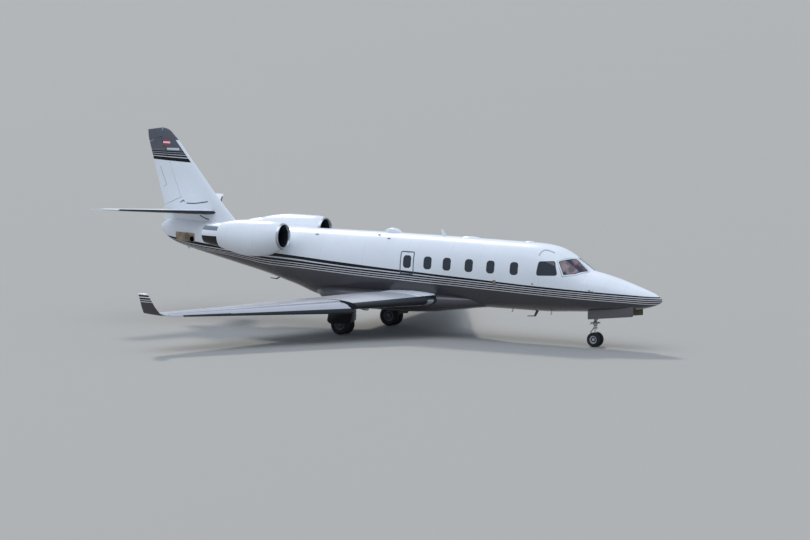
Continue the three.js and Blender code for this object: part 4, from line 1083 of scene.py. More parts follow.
def dress_skin(piece, inner, node, body="airframe"):
    """Livery outside, another finish inside, exact normals, and the CAD node that it stands for."""
    mesh = piece.data
    mesh.materials.clear()
    for finish in ("livery", inner):
        mesh.materials.append(M[finish])
    centres = np.array([face.center[:] for face in mesh.polygons])
    depth = (1 - fuselage_level(centres)) * fuselage_row(centres[:, 0])[2]
    mesh.polygons.foreach_set("material_index", (depth > INSIDE_FROM).astype(np.int32))
    skin_shaded(piece)
    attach(piece, body)
    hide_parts(node)


def build_fuselage():
    """Nose, cockpit, cabin, aft section and tail cone as smooth skins with their openings."""
    nose = loft("nose_skin", [fuselage_ring(x) for x in stations(NOSE_SEAM + GAP, NOSE_TIP)])
    dress_skin(carved(nose, [block("bay", *NOSE_BAY)]), "primer", "nose_section")

    cockpit = shell("cockpit_skin", COCKPIT_SEAM + GAP, NOSE_SEAM)
    panes = [tool("pane", side) for tool in (windscreen_tool, side_pane_tool) for _, side in SIDES]
    dress_skin(carved(cockpit, [joined("panes", panes)]), "lining", "cockpit_shell")

    upper = shell("cabin_skin_upper", AFT_SEAM + GAP, COCKPIT_SEAM)
    windows = [window_tool("window", x, side) for _, side in SIDES for x in side_windows(side)]
    carved(upper, [joined("windows", windows), door_tool("doorway", CABIN_DOOR)])
    lower = linked("cabin_skin_lower", upper.data.copy())
    low, high = ALL_ROUND
    carved(upper, [block("above", (*low[:2], CABIN_SPLIT + GAP), high)], "INTERSECT")
    carved(lower, [block("below", low, (*high[:2], CABIN_SPLIT))], "INTERSECT")
    dress_skin(upper, "lining", "cabin_shell_upper")
    dress_skin(lower, "lining", "cabin_shell_lower")

    places = stations(TAIL_SEAM + GAP, AFT_SEAM)
    hollow = [fuselage_ring(x, WALL) for x in reversed(places) if x <= AFT_SEAM - AFT_HOLLOW_SHORT]
    aft = loft("aft_skin", hollow + [fuselage_ring(x) for x in places])
    dress_skin(carved(aft, [door_tool("bag_doorway", BAGGAGE_DOOR)]), "lining", "aft_section")

    places = stations(TAIL_TIP, TAIL_SEAM)
    hollow = [fuselage_ring(x, WALL) for x in reversed(places) if x >= CONE_HOLLOW_TO]
    cone = loft("tail_skin", [fuselage_ring(x) for x in places] + hollow)
    dress_skin(carved(cone, [exhaust_tool("hole", EXHAUST["radius"])]), "hot_dark", "tail_cone")


def build_belly():
    """The fairing under the wing centre, rounded from end to end."""
    rings = []
    for x in np.linspace(BELLY[-1][0], BELLY[0][0], 60):
        _, half, bottom, top = smooth(BELLY, float(x))
        rings.append(oval(x, top, bottom, half, BELLY_FULLNESS, 72))
    dress(loft("belly_fairing_skin", rings), "taupe", ["belly_fairing"], angle=40)


def ring_tool(tool, *place, outer, inner):
    """A band between two sizes of one opening."""
    return carved(tool("band", *place, outer), [tool("core", *place, inner)])


def build_glass():
    """Cabin and cockpit panes with their seals and frames."""
    edge = sizes().seal_width
    for name, side in SIDES:
        places = side_windows(side)
        reach = (places[-1] - 0.3, places[0] + 0.3)
        rings = [ring_tool(window_tool, x, side, outer=GAP, inner=edge) for x in places]
        seals = shell(f"cabin_seals_{name}", *reach, *SEAL_DEPTHS)
        dress(carved(seals, [joined("rings", rings)], "INTERSECT"), "seal")
        plugs = [window_tool("plug", x, side, edge + GAP) for x in places]
        panes = shell(f"cabin_panes_{name}", *reach, *PANE_DEPTHS)
        dress(carved(panes, [joined("plugs", plugs)], "INTERSECT"), "glass",
              [f"cabin_windows_{name}"])

    cockpit_tools = [(tool, side) for _, side in SIDES for tool in (windscreen_tool, side_pane_tool)]
    rings = [ring_tool(tool, side, outer=GAP, inner=FRAME_EDGE) for tool, side in cockpit_tools]
    frames = shell("cockpit_frames", *COCKPIT_GLASS_REACH, *FRAME_DEPTHS)
    dress(carved(frames, [joined("rings", rings)], "INTERSECT"), "seal")
    plugs = [tool("plug", side, PANE_EDGE) for tool, side in cockpit_tools]
    panes = shell("cockpit_panes", *COCKPIT_GLASS_REACH, *SCREEN_DEPTHS)
    dress(carved(panes, [joined("plugs", plugs)], "INTERSECT"), "screen", ["cockpit_windows"])
    paint_faces(panes, "glass", lambda centre, normal: centre.x < FILM_FROM)
    outer, inner = SURROUND_EDGES
    bands = [ring_tool(windscreen_tool, side, outer=outer, inner=inner) for _, side in SIDES]
    lines = shell("windscreen_surround_lines", *SURROUND_REACH, *LINE_DEPTHS)
    dress(carved(lines, [joined("bands", bands)], "INTERSECT"), "rim")


def build_doors():
    """The airstair door with its treads and the baggage door."""
    door = shell("airstair_door", AIRSTAIR_REAR, COCKPIT_SEAM)
    carved(door, [door_tool("outline", CABIN_DOOR, 1, DOOR_GAP)], "INTERSECT")
    dress_skin(door, "lining", "cabin_door", "cabin_door")
    level = Matrix.Rotation(math.radians(TREADS["opens"] - 180), 4, "X")
    treads = []
    for k in range(TREADS["count"]):
        z = CABIN_DOOR["sill"] + TREADS["first"] + TREADS["pitch"] * k
        place = Vector((CABIN_DOOR["x"], fuselage_half_width(CABIN_DOOR["x"], z) - WALL / 2, z))
        treads.append(block("tread", TREADS["low"], TREADS["high"]))
        treads[-1].data.transform(Matrix.Translation(place) @ level)
    dress(softened(joined("airstair_treads", treads), 0.004), "black", body="cabin_door")

    bags = shell("baggage_door_skin", *BAGGAGE_REACH)
    carved(bags, [door_tool("outline", BAGGAGE_DOOR, 1, DOOR_GAP)], "INTERSECT")
    dress_skin(bags, "lining", "baggage_door", "baggage_door")


# Wings and tail

FOIL_U = tuple(0.5 * (1 - math.cos(math.pi * k / 26)) for k in range(26, 0, -1)) + (0.0008,)
# Pad under the wing for a jack: middle, foot and top, radius
JACK_PAD = {"x": 0.150, "y": 2.300, "foot": 0.880, "top": 0.980, "radius": 0.060}

# Chord shares that the boots and the paint of the wing and tailplane reach to
INNER_BOOT = 0.062
OUTER_BOOT = 0.175
TAIL_BOOT = {"upper": 0.05, "lower": 0.2, "from": 0.09, "to": 2.88}

# Where the wing starts inside the fuselage, and how far its recess runs past both ends of the slat
WING_FROM = 0.560
SLAT_ROOM = 0.030

# The boot under a slat: its height below the nose line inboard, how much it narrows outboard, and the length
# it leaves bare at the tip
SLAT_BOOT = {"high": 0.095, "narrows": 0.070, "bare": 0.27}

# Half the thickness of a moving surface's trailing edge, and how far its bay reaches behind it and over it
TRAILING_HALF = 0.003
BAY = {"behind": 0.150, "over": 0.060}

# The gap before the rudder's hinge, whose walls are painted black as painted shade: how far ahead of the hinge
# and over the rudder's top the paint reaches
HINGE_GAP = {"ahead": 0.12, "over": 0.10}


def half_thickness(u):
    """Half of an aerofoil's thickness at a chord share, for a thickness ratio of 1."""
    curve = 0.2969 * math.sqrt(u) - 0.126 * u - 0.3516 * u ** 2 + 0.2843 * u ** 3 - 0.1036 * u ** 4
    return 5 * curve + 0.02 * u


def foil_point(section, u, side, share=1.0):
    """A point of an aerofoil: u along the chord, side 1 above and -1 below."""
    chord = section["te"] - section["le"]
    length = chord.length
    rise = length * (4 * section["camber"] * u * (1 - u)
                     + side * share * section["ratio"] * half_thickness(u))
    return section["le"] + chord * u + section["up"] * (rise + side * section.get("grow", 0.0))


def foil_ring(section):
    return np.array([tuple(foil_point(section, u, 1)) for u in FOIL_U]
                    + [tuple(foil_point(section, u, -1)) for u in reversed(FOIL_U)])


def section_at(table, span, side, camber, grow=0.0):
    """A section of a table with the columns: span, leading x, trailing x, leading z, trailing z, ratio."""
    _, le_x, te_x, le_z, te_z, ratio = straight(table, span)
    return {"le": Vector((le_x + grow, side * span, le_z)), "te": Vector((te_x - grow, side * span, te_z)),
            "up": UP, "ratio": ratio, "camber": camber, "grow": grow}


def wing_section(side, span):
    return section_at(WING_OUTER if span >= KINK_Y else WING_INNER, span, side, CAMBER)


def spans_between(low, high, step=0.35):
    count = max(int(math.ceil((high - low) / step)), 1)
    return [low + (high - low) * k / count for k in range(count + 1)]


def hinged_surface(name, ends, up, end_gap):
    """A control surface with a round nose about its hinge, and the bay that it moves in."""
    axis = (ends[1]["hinge"] - ends[0]["hinge"]).normalized()

    def surface_ring(end):
        back = (end["trailing"] - end["hinge"]).normalized()
        nose = [end["hinge"] + up * (end["radius"] * math.cos(a)) - back * (end["radius"] * math.sin(a))
                for a in (math.pi * k / 18 for k in range(19))]
        return [end["trailing"] + up * TRAILING_HALF, *nose, end["trailing"] - up * TRAILING_HALF]

    def bay_ring(end, shift):
        back = (end["trailing"] - end["hinge"]).normalized()
        front = end["hinge"] - back * (end["radius"] + RUNNING_GAP) + axis * shift
        rear = end["trailing"] + back * BAY["behind"] + axis * shift
        tall = 4 * end["radius"] + BAY["over"]
        return [p + up * way * tall for p, way in ((front, 1), (rear, 1), (rear, -1), (front, -1))]

    surface = loft(name, [np.array([tuple(p) for p in surface_ring(end)]) for end in ends])
    bay = loft("bay", [np.array([tuple(p) for p in bay_ring(end, shift)])
                       for end, shift in zip(ends, (-end_gap, end_gap))])
    return surface, bay


def wing_surface(name, section_of, trailing_line, places):
    """A surface hinged on a wing, with its ends square to its hinge line, and its bay."""
    hinges = []
    for span, u in zip(places["spans"], places["shares"]):
        upper, lower = (foil_point(section_of(span), u, way) for way in (1, -1))
        hinges.append(((upper + lower) / 2, (upper - lower).length / 2))
    back = (hinges[1][0] - hinges[0][0]).normalized().cross(UP).normalized()
    if back.x > 0:
        back.negate()
    start, end = trailing_line
    slope = (end.x - start.x) / (end.y - start.y)
    ends = []
    for hinge, radius in hinges:
        reach = (start.x + slope * (hinge.y - start.y) - hinge.x) / (back.x - slope * back.y)
        trailing = hinge + back * reach
        trailing.z = start.z + (trailing.y - start.y) / (end.y - start.y) * (end.z - start.z)
        ends.append({"hinge": hinge, "radius": radius, "trailing": trailing})
    return hinged_surface(name, ends, UP, places["gap"])


def recessed_ring(section):
    upper = [foil_point(section, u, 1) for u in FOIL_U if u > SLAT["chord"]]
    lower = [foil_point(section, u, -1) for u in reversed(FOIL_U) if u > SLAT["under"]]
    nose = [foil_point(section, *place) for place in FIXED_NOSE]
    return np.array([tuple(p) for p in upper + nose + lower])


def slat_ring(section):
    outside = [foil_point(section, SLAT["chord"] * (1 - k / 14) ** 2 + 0.0006, 1) for k in range(15)]
    under = [foil_point(section, 0.0006 + 0.0444 * (k / 6) ** 2, -1) for k in range(7)]
    inside = [foil_point(section, *place) for place in SLAT_INSIDE]
    return [*outside, *under, *reversed(inside)]


def fuselage_solid():
    """The fuselage as one solid, to cut what stands on it."""
    return loft("body", [fuselage_ring(x, -GAP) for x in stations(TAIL_TIP, NOSE_TIP, 0.2)])


def chord_share(point, table):
    _, le_x, te_x, *_ = straight(table, min(max(abs(point.y), table[0][0]), table[-1][0]))
    return (le_x - point.x) / (le_x - te_x)


def build_wing(name, side):
    """One wing with its flap and aileron."""
    root = [section_at(WING_INNER, span, side, CAMBER) for span in spans_between(WING_FROM, KINK_Y)]
    wing = loft(f"wing_{name}_skin", [foil_ring(section) for section in root])
    slat_ends = (SLAT["from"] - SLAT_ROOM, SLAT["to"] + SLAT_ROOM)
    section_of = lambda span: wing_section(side, span)
    pad = [(JACK_PAD["x"], side * JACK_PAD["y"], JACK_PAD[end]) for end in ("foot", "top")]
    carved(wing, [
        loft("outer_root", [foil_ring(section_of(span)) for span in (KINK_Y, slat_ends[0])]),
        loft("outer_middle", [recessed_ring(section_of(span)) for span in spans_between(*slat_ends)]),
        loft("outer_tip", [foil_ring(section_of(span)) for span in (slat_ends[1], TIP_Y)]),
        tube("jack_pad", pad, JACK_PAD["radius"], 32)], "UNION")
    edge = [Vector((row[2], side * row[0], row[4])) for row in (WING_INNER[0], WING_OUTER[1])]
    flap, flap_bay = wing_surface(f"flap_{name}_skin", section_of, edge, FLAP)
    aileron, aileron_bay = wing_surface(f"aileron_{name}_skin", section_of, edge, AILERON)
    near, far = sorted(side * (MAIN["y"] + reach) for reach in (-GEAR_WELL["inboard"], GEAR_WELL["outboard"]))
    well = block("well", (GEAR_WELL["rear"], near, 0), (GEAR_WELL["front"], far, GEAR_WELL["roof"]))
    carved(wing, [flap_bay, aileron_bay, well, fuselage_solid()])
    dress(wing, "wing_top", [f"wing_{name}"], flat=True)

    def root_boot(centre, normal):
        return centre.y * side < KINK_Y and chord_share(centre, WING_INNER) < INNER_BOOT and normal.z > -0.97

    # The boot carried on just past the slat's inner end, and the inner wing's end face at the kink given the
    # boot's dark colour as painted shade of the gap beside the slat
    def kink_boot_and_gap_shade(centre, normal):
        beside_slat = KINK_Y <= centre.y * side < SLAT["from"] + 0.06
        return (beside_slat and chord_share(centre, WING_OUTER) < OUTER_BOOT
                or abs(centre.y * side - KINK_Y) < 0.01 and abs(normal.y) > 0.9)

    def inside_well(centre, normal):
        return (GEAR_WELL["rear"] - 0.001 < centre.x < GEAR_WELL["front"] + 0.001 and centre.z > 0.80
                and near - 0.001 < centre.y < far + 0.001
                and (abs(normal.z) < 0.1 or centre.z < GEAR_WELL["roof"] + 0.0005 and normal.z < -0.99))

    for finish, rule in (("boot", root_boot), ("boot", kink_boot_and_gap_shade), ("primer", inside_well)):
        paint_faces(wing, finish, rule)
    for surface, body in ((flap, f"flap_{name}"), (aileron, f"aileron_{name}")):
        dress(surface, "wing", [body], body, flat=True)


def build_slat(name, side):
    """One lowered leading-edge slat with the boot under its nose."""
    leading = [wing_section(side, span) for span in (SLAT["from"], SLAT["to"])]
    shift = Vector((-SLAT["back"], 0, -SLAT["down"]))
    pivots = [section["le"] + shift * (section["te"] - section["le"]).length for section in leading]
    turn = (Matrix.Translation(pivots[0])
            @ Matrix.Rotation(math.radians(side * SLAT["opens"]), 4, pivots[1] - pivots[0])
            @ Matrix.Translation(-pivots[0]))
    rings = [np.array([tuple(turn @ p) for p in slat_ring(wing_section(side, span))])
             for span in spans_between(SLAT["from"], SLAT["to"])]
    slat = loft(f"slat_{name}_skin", rings)
    dress(slat, "wing", [f"slat_{name}"], f"slat_{name}", flat=True)
    fronts = [turn @ foil_point(section, 0.004, 1) for section in leading]

    def below_nose(centre, normal):
        share = (centre.y - fronts[0].y) / (fronts[1].y - fronts[0].y)
        top = fronts[0].lerp(fronts[1], share).z + SLAT_BOOT["high"] - SLAT_BOOT["narrows"] * share
        return centre.z < top and normal.x > -0.4 and abs(centre.y) < SLAT["to"] - SLAT_BOOT["bare"]

    paint_faces(slat, "boot", below_nose)


def build_winglet(name, side):
    rows = [(k, *row) for k, row in enumerate(WINGLET)]
    rings = []
    for place in np.linspace(0, len(WINGLET) - 1, 31):
        _, le_x, te_x, y, le_z, te_z, lean, ratio, camber = smooth(rows, float(place))
        up = Vector((0, -side * math.sin(math.radians(lean)), math.cos(math.radians(lean))))
        rings.append(foil_ring({"le": Vector((le_x, side * y, le_z)), "te": Vector((te_x, side * y, te_z)),
                                "up": up, "ratio": ratio, "camber": camber}))
    dress(loft(f"winglet_{name}_skin", rings), "winglet", [f"winglet_{name}"], angle=40)


def build_wings():
    """Both wings with their flaps, ailerons, slats and winglets."""
    for name, side in SIDES:
        build_wing(name, side)
        build_slat(name, side)
        build_winglet(name, side)


def fin_section(row):
    le_x, le_z, te_x, te_z, thickness = row
    le, te = Vector((le_x, 0, le_z)), Vector((te_x, 0, te_z))
    return {"le": le, "te": te, "up": ACROSS, "ratio": thickness / (le - te).length, "camber": 0.0}


def rudder_hinge(z):
    return Vector((RUDDER["hinge_x"] - RUDDER["slope"] * (z - RUDDER["from"]), 0, z))


def rudder_end(z, back):
    """Hinge, nose radius and trailing edge of the rudder at a height, square to the hinge line."""
    root, top = FIN[2], FIN[3]
    place = (z - root[1]) / (top[1] - root[1])
    le_x, thickness = (root[k] + place * (top[k] - root[k]) for k in (0, 4))
    edge_slope = (root[2] - top[2]) / (top[3] - root[3])
    edge_x = root[2] - edge_slope * (z - root[3])
    hinge = rudder_hinge(z)
    radius = thickness * half_thickness((le_x - hinge.x) / (le_x - edge_x))
    reach = (edge_x - hinge.x) / (back.x + edge_slope * back.z)
    return {"hinge": hinge, "radius": radius, "trailing": hinge + back * reach}


def tailplane_solid(name, grow=0.0):
    span = TAILPLANE[1][0]
    places = [s for half in (spans_between(-span, 0, 0.4), spans_between(0, span, 0.4)[1:]) for s in half]
    return loft(name, [foil_ring(section_at(TAILPLANE, abs(p), 1 if p >= 0 else -1, 0.0, grow))
                       for p in places])


def build_fin():
    """The fin, its rudder and the beacon on its top."""
    low, high = rudder_hinge(RUDDER["from"]), rudder_hinge(RUDDER["to"])
    axis = (high - low).normalized()
    back = Vector((-axis.z, 0, axis.x))
    rudder, bay = hinged_surface("rudder_skin", [rudder_end(p.z, back) for p in (low, high)], ACROSS,
                                 RUDDER["gap"])
    rows = []
    for below, above in zip(FIN, FIN[1:]):
        shares = (0, 0.25, 0.5, 0.75) if above[1] - below[1] > 0.3 else (0,)
        rows += [[a + (b - a) * t for a, b in zip(below, above)] for t in shares]
    fin = loft("fin_skin", [foil_ring(fin_section(row)) for row in (*rows, FIN[-1])])
    carved(fin, [bay, tailplane_solid("plane_gap", GAP), fuselage_solid()])
    dress(fin, "fin", ["fin"], flat=True)
    dress(rudder, "fin", ["rudder"], "rudder", flat=True)

    # Walls of the gap round the rudder's nose, painted black as painted shade
    def hinge_gap(centre, normal):
        return (abs(normal.y) < 0.45 and normal.x > -0.75 and centre.z < RUDDER["to"] + HINGE_GAP["over"]
                and centre.x < rudder_hinge(centre.z).x + HINGE_GAP["ahead"])

    for surface in (fin, rudder):
        paint_faces(surface, "black", hinge_gap)
    radius, height = BEACON["radius"], BEACON["to"] - BEACON["from"]
    round_top = [(radius * math.cos(a), height * (0.35 + 0.65 * math.sin(a)))
                 for a in (math.pi / 2 * k / 10 for k in range(1, 11))]
    profile = [(0.0, 0.0), (radius, 0.0), (radius, height * 0.35), *round_top]
    dress(lathe("fin_beacon", profile, (BEACON["x"], 0, BEACON["from"]), UP, 32), "lens")


def build_tailplane():
    """The tailplane with its boots and elevators."""
    plane = tailplane_solid("tailplane_skin")
    bays = []
    for name, side in SIDES:
        edge = [Vector((row[2], side * row[0], row[4])) for row in TAILPLANE]
        elevator, bay = wing_surface(f"elevator_{name}_skin",
                                     lambda span: section_at(TAILPLANE, span, side, 0.0), edge, ELEVATOR)
        bays.append(bay)
        dress(elevator, "white", [f"elevator_{name}"], f"elevator_{name}", flat=True)
    dress(carved(plane, bays), "white", ["tailplane"], flat=True)

    def leading(centre, normal):
        reach = TAIL_BOOT["upper"] if normal.z > 0 else TAIL_BOOT["lower"]
        return TAIL_BOOT["from"] < abs(centre.y) < TAIL_BOOT["to"] and chord_share(centre, TAILPLANE) < reach

    paint_faces(plane, "boot", leading)


def build_tail():
    """Fin, rudder, tailplane, elevators and the beacon on the fin top."""
    build_fin()
    build_tailplane()


# Engines

# Intake lip behind its front edge and the duct back to the fan: x, centre z, radius
LIP_X = (-3.135, -3.120, -3.105, -3.093, -3.085, -3.078)
LIP = ((-3.071, 2.663, 0.352), (-3.070, 2.663, 0.345), (-3.073, 2.663, 0.338), (-3.083, 2.662, 0.330),
       (-3.105, 2.660, 0.321), (-3.135, 2.656, 0.313), (-3.175, 2.651, 0.307))
DUCT = ((-3.225, 2.645, 0.305), (-3.295, 2.636, 0.309), (-3.395, 2.621, 0.322), (-3.505, 2.604, 0.342),
        (-3.575, 2.594, 0.354))
POLISHED_TO = -3.136

# Plug behind the core: x, radius
TAIL_PLUG = ((-5.240, 0.128), (-5.340, 0.116), (-5.460, 0.078), (-5.550, 0.036), (-5.600, 0.012))
SPINNER = {"radius": 0.118, "length": 0.160, "back": -0.150, "behind": 0.040}
BLADE = {"root": 0.088, "pitch": 24, "twist": 34, "chord": 0.088, "swell": 0.022, "thick": 0.0035,
         "bow": 0.010}


# Places across a pylon that its sections stand at, up to the engine's middle
PYLON_SPANS = (0.62, 0.8, 1.0, ENGINE_Y)


def engine_ring(side, x, z, radius, sides=ENGINE_SIDES):
    angles = 2 * np.pi * (np.arange(sides) + 0.5) / sides
    return np.column_stack([np.full(sides, x), side * ENGINE_Y + radius * np.cos(angles),
                            z + radius * np.sin(angles)])


def turned_rows(name, side, rows, sides=ENGINE_SIDES, closed=False):
    """A round skin of one engine through rows of x, z and radius."""
    return loft(name, [engine_ring(side, *row, sides) for row in rows], closed)


def node_tree(name, inputs):
    """An empty geometry tree with a geometry input and output and named sizes."""
    tree = bpy.data.node_groups.new(name, "GeometryNodeTree")
    tree.interface.new_socket("Geometry", in_out="INPUT", socket_type="NodeSocketGeometry")
    for label, kind, value in inputs:
        socket = tree.interface.new_socket(label, in_out="INPUT", socket_type=kind)
        if value is not None:
            socket.default_value = value
    tree.interface.new_socket("Geometry", in_out="OUTPUT", socket_type="NodeSocketGeometry")
    return tree, add_node(tree, "NodeGroupInput"), add_node(tree, "NodeGroupOutput")


def grown(piece, tree, values):
    """Runs a geometry tree on a piece with its named inputs and bakes the result."""
    run = piece.modifiers.new(tree.name, "NODES")
    run.node_group = tree
    names = {item.name: item.identifier for item in tree.interface.items_tree if item.in_out == "INPUT"}
    for label, value in values.items():
        run[names[label]] = value
    bpy.context.view_layer.update()
    return baked(piece)


def finished_tree(tree, enter, leave, copies):
    """Makes the copies real, gives them the tree's finish and sends them out."""
    real = add_node(tree, "GeometryNodeRealizeInstances", links={"Geometry": copies.outputs[0]})
    finished = add_node(tree, "GeometryNodeSetMaterial",
                        links={"Geometry": real.outputs[0], "Material": enter.outputs["Finish"]})
    tree.links.new(finished.outputs[0], leave.inputs[0])
    return tree


def blade_row_tree():
    """Copies of one blade, evenly round a shaft along X."""
    tree, enter, leave = node_tree("blade_row", [("Blades", "NodeSocketInt", FAN["blades"]),
                                                 ("Centre", "NodeSocketVector", (0, 0, 0)),
                                                 ("Finish", "NodeSocketMaterial", None)])
    line = add_node(tree, "GeometryNodeMeshLine", links={"Count": enter.outputs["Blades"]},
                    values={"Offset": (0, 0, 0)})
    index = add_node(tree, "GeometryNodeInputIndex")
    share = add_node(tree, "ShaderNodeMath", operation="DIVIDE",
                     links={0: index.outputs[0], 1: enter.outputs["Blades"]})
    angle = add_node(tree, "ShaderNodeMath", operation="MULTIPLY", links={0: share.outputs[0]},
                     values={1: 2 * math.pi})
    turn = add_node(tree, "ShaderNodeCombineXYZ", links={0: angle.outputs[0]})
    copies = add_node(tree, "GeometryNodeInstanceOnPoints",
                      links={"Points": line.outputs[0], "Instance": enter.outputs["Geometry"],
                             "Rotation": turn.outputs[0]})
    placed = add_node(tree, "GeometryNodeTranslateInstances",
                      links={"Instances": copies.outputs[0], "Translation": enter.outputs["Centre"]},
                      values={"Local Space": False})
    return finished_tree(tree, enter, leave, placed)


def scatter_tree():
    """Copies of one small part on points, each turned to face its point's own direction."""
    tree, enter, leave = node_tree("fasteners", [("Part", "NodeSocketObject", None),
                                                 ("Finish", "NodeSocketMaterial", None)])
    part = add_node(tree, "GeometryNodeObjectInfo", links={"Object": enter.outputs["Part"]})
    facing = add_node(tree, "GeometryNodeInputNamedAttribute", data_type="FLOAT_VECTOR",
                      values={"Name": "facing"})
    turn = add_node(tree, "FunctionNodeAlignRotationToVector", axis="Z", links={"Vector": facing.outputs[0]})
    copies = add_node(tree, "GeometryNodeInstanceOnPoints",
                      links={"Points": enter.outputs["Geometry"], "Instance": part.outputs["Geometry"],
                             "Rotation": turn.outputs[0]})
    return finished_tree(tree, enter, leave, copies)


def fastened(name, places, part, finish):
    """A row of like fasteners on (point, direction) places, as one mesh; the part itself is used up."""
    holder = mesh_object(name, [p for p, _ in places], [])
    facing = holder.data.attributes.new("facing", "FLOAT_VECTOR", "POINT")
    facing.data.foreach_set("vector", [float(v) for _, way in places for v in way])
    grown(holder, TREES["fasteners"], {"Part": part, "Finish": finish})
    bpy.data.objects.remove(part)
    return holder


def dome(radius, rise, sides=8):
    """A low domed head standing on z 0."""
    profile = [(0.0, -rise * 0.4), (radius, -rise * 0.4), (radius, rise * 0.25), (radius * 0.6, rise * 0.85),
               (0.0, rise)]
    return lathe("head", profile, (0, 0, 0), UP, sides)


TREES = {}


def fan_blade(side):
    """One twisted blade standing on a shaft along X."""
    rings = []
    for share in np.linspace(0, 1, 9):
        radius = BLADE["root"] + share * (FAN["radius"] - BLADE["root"])
        pitch = side * math.radians(BLADE["pitch"] + BLADE["twist"] * share)
        chord = BLADE["chord"] + BLADE["swell"] * math.sin(math.pi * (0.15 + 0.7 * share))
        section = []
        for angle in (2 * math.pi * k / 20 for k in range(20)):
            along = 0.5 * chord * math.cos(angle)
            bow = BLADE["bow"] * side * (1 - (2 * along / chord) ** 2)
            across = BLADE["thick"] * (1.4 - 0.7 * share) * math.sin(angle) + bow
            section.append((along * math.cos(pitch) - across * math.sin(pitch),
                            along * math.sin(pitch) + across * math.cos(pitch), radius))
        rings.append(np.array(section))
    return loft("blade", rings)


def outward_share(side, centre, normal):
    """Above 0 where a face looks away from an engine's shaft, below 0 where it looks towards it."""
    return normal.dot(Vector((0, centre.y - side * ENGINE_Y, centre.z - ENGINE_Z)))


def build_cowl(name, side):
    """A cowl with its polished lip and its intake duct down to the core."""
    outer = [smooth(COWL, x) for x in np.linspace(-3.150, COWL[-1][0], 40)]
    lip = [smooth(COWL, x) for x in LIP_X]
    level = ((FAN["front"] + 0.040, FAN["duct"]), (FAN["back"] - 0.010, FAN["duct"]),
             (FAN["back"] - 0.0105, CORE["radius"]), (COWL[-1][0], CORE["radius"]))
    rows = [*reversed(outer), *lip, *LIP, *DUCT, *((x, ENGINE_Z, radius) for x, radius in level)]
    cowl = turned_rows(f"engine_cowl_{name}_skin", side, rows, closed=True)
    dress(cowl, "cowl", [f"engine_cowl_{name}"], angle=50)
    paint_faces(cowl, "polished", lambda c, n: c.x > POLISHED_TO)
    paint_faces(cowl, "duct", lambda c, n: c.x < POLISHED_TO and outward_share(side, c, n) < 0)


def build_fan(name, side):
    """The fan blades and their spinner, which turn together."""
    middle = ((FAN["front"] + FAN["back"]) / 2, side * ENGINE_Y, ENGINE_Z)
    blades = grown(fan_blade(side), TREES["blades"],
                   {"Blades": sizes().fan_blades, "Centre": middle, "Finish": M["blade"]})
    blades.name = f"fan_{name}_blades"
    dress(blades, None, [f"fan_{name}"], f"fan_{name}", 40)
    profile = [(SPINNER["radius"] * math.sin(a), SPINNER["length"] * math.cos(a))
               for a in (math.pi / 2 * k / 14 for k in range(15))]
    profile += [(SPINNER["radius"], SPINNER["back"]), (0.0, SPINNER["back"])]
    origin = (FAN["front"] - SPINNER["behind"], side * ENGINE_Y, ENGINE_Z)
    spinner = lathe(f"fan_{name}_spinner", profile, origin, (1, 0, 0), 48)
    dress(spinner, "spinner", body=f"fan_{name}")


def build_core(name, side):
    """The block behind the fan with its tail plug, and the thrust reverser round it."""
    radius = CORE["radius"] - GAP
    rows = ((FAN["back"] - 0.025, radius), (CORE["back"], radius), (CORE["back"] - 0.0005, 0.130), *TAIL_PLUG)
    core = turned_rows(f"engine_core_{name}_block", side, [(x, ENGINE_Z, r) for x, r in rows])
    dress(core, "hot_dark", [f"engine_core_{name}"], angle=40)

    n = NOZZLE
    rows = [(n["front"], n["front_radius"])]
    for share in np.linspace(0.1, 1, 12):
        bulge = 0.010 * math.sin(math.pi * share)
        rows.append((n["front"] + share * (n["back"] + 0.004 - n["front"]),
                     n["front_radius"] + share * (n["radius"] - n["front_radius"]) + bulge))
    rows += [(n["back"], n["radius"] - 0.006), (n["back"], n["bore"] + 0.004), (n["back"] + 0.004, n["bore"]),
             (n["front"] - 0.250, 0.200), (n["front"], n["bore"] + 0.020)]
    reverser = turned_rows(f"reverser_{name}_skin", side, [(x, ENGINE_Z, r) for x, r in rows], closed=True)
    dress(reverser, "reverser", [f"reverser_{name}"], angle=40)
    paint_faces(reverser, "hot_dark", lambda c, n: outward_share(side, c, n) <= 0)


def build_pylon(name, side):
    """The short wing between the fuselage and an engine."""
    rings = [foil_ring({"le": Vector((PYLON["x"], side * span, PYLON["front_z"])),
                        "te": Vector((PYLON["x"] - PYLON["chord"], side * span, PYLON["back_z"])),
                        "up": UP, "ratio": PYLON["ratio"], "camber": 0.0})
             for span in PYLON_SPANS]
    rows = [smooth(COWL, x) for x in np.linspace(COWL[-1][0], COWL[0][0], 30)]
    pylon = carved(loft(f"pylon_{name}_skin", rings),
                   [turned_rows("cowl_inside", side, rows, 48), fuselage_solid()])
    dress(pylon, "white", [f"pylon_{name}"], flat=True)


def build_engines():
    """Cowls, intakes, fans, cores, reversers and pylons of both engines."""
    for name, side in SIDES:
        for build in (build_cowl, build_fan, build_core, build_pylon):
            build(name, side)


# Wheels, legs and doors of the undercarriage

MAIN_LEG = {"pivot_x": -0.610, "pivot_z": 0.470, "top": 0.989, "strut": 0.062, "half": 0.027, "stay": 0.720}
TRAILING_ARM = ((-0.585, 0.400), (-0.575, 0.505), (-0.650, 0.520), (-0.990, 0.350), (-1.000, 0.235),
                (-0.920, 0.225))
MAIN_DOOR = {"y": 1.640, "thickness": 0.020,
             "outline": ((-1.331, 0.384), (-1.241, 0.310), (-0.582, 0.352), (-0.450, 0.860), (-1.240, 0.860))}
NOSE_DOOR = {"y": 0.296, "thickness": 0.018, "outline": ((6.310, 0.783), (7.720, 0.941), (7.720, 1.300),
                                                         (6.310, 1.200))}
NOSE_LEG = {"collar": 0.580, "bearing": 0.720, "top": 1.399, "piston": 0.030, "sleeve": 0.048}

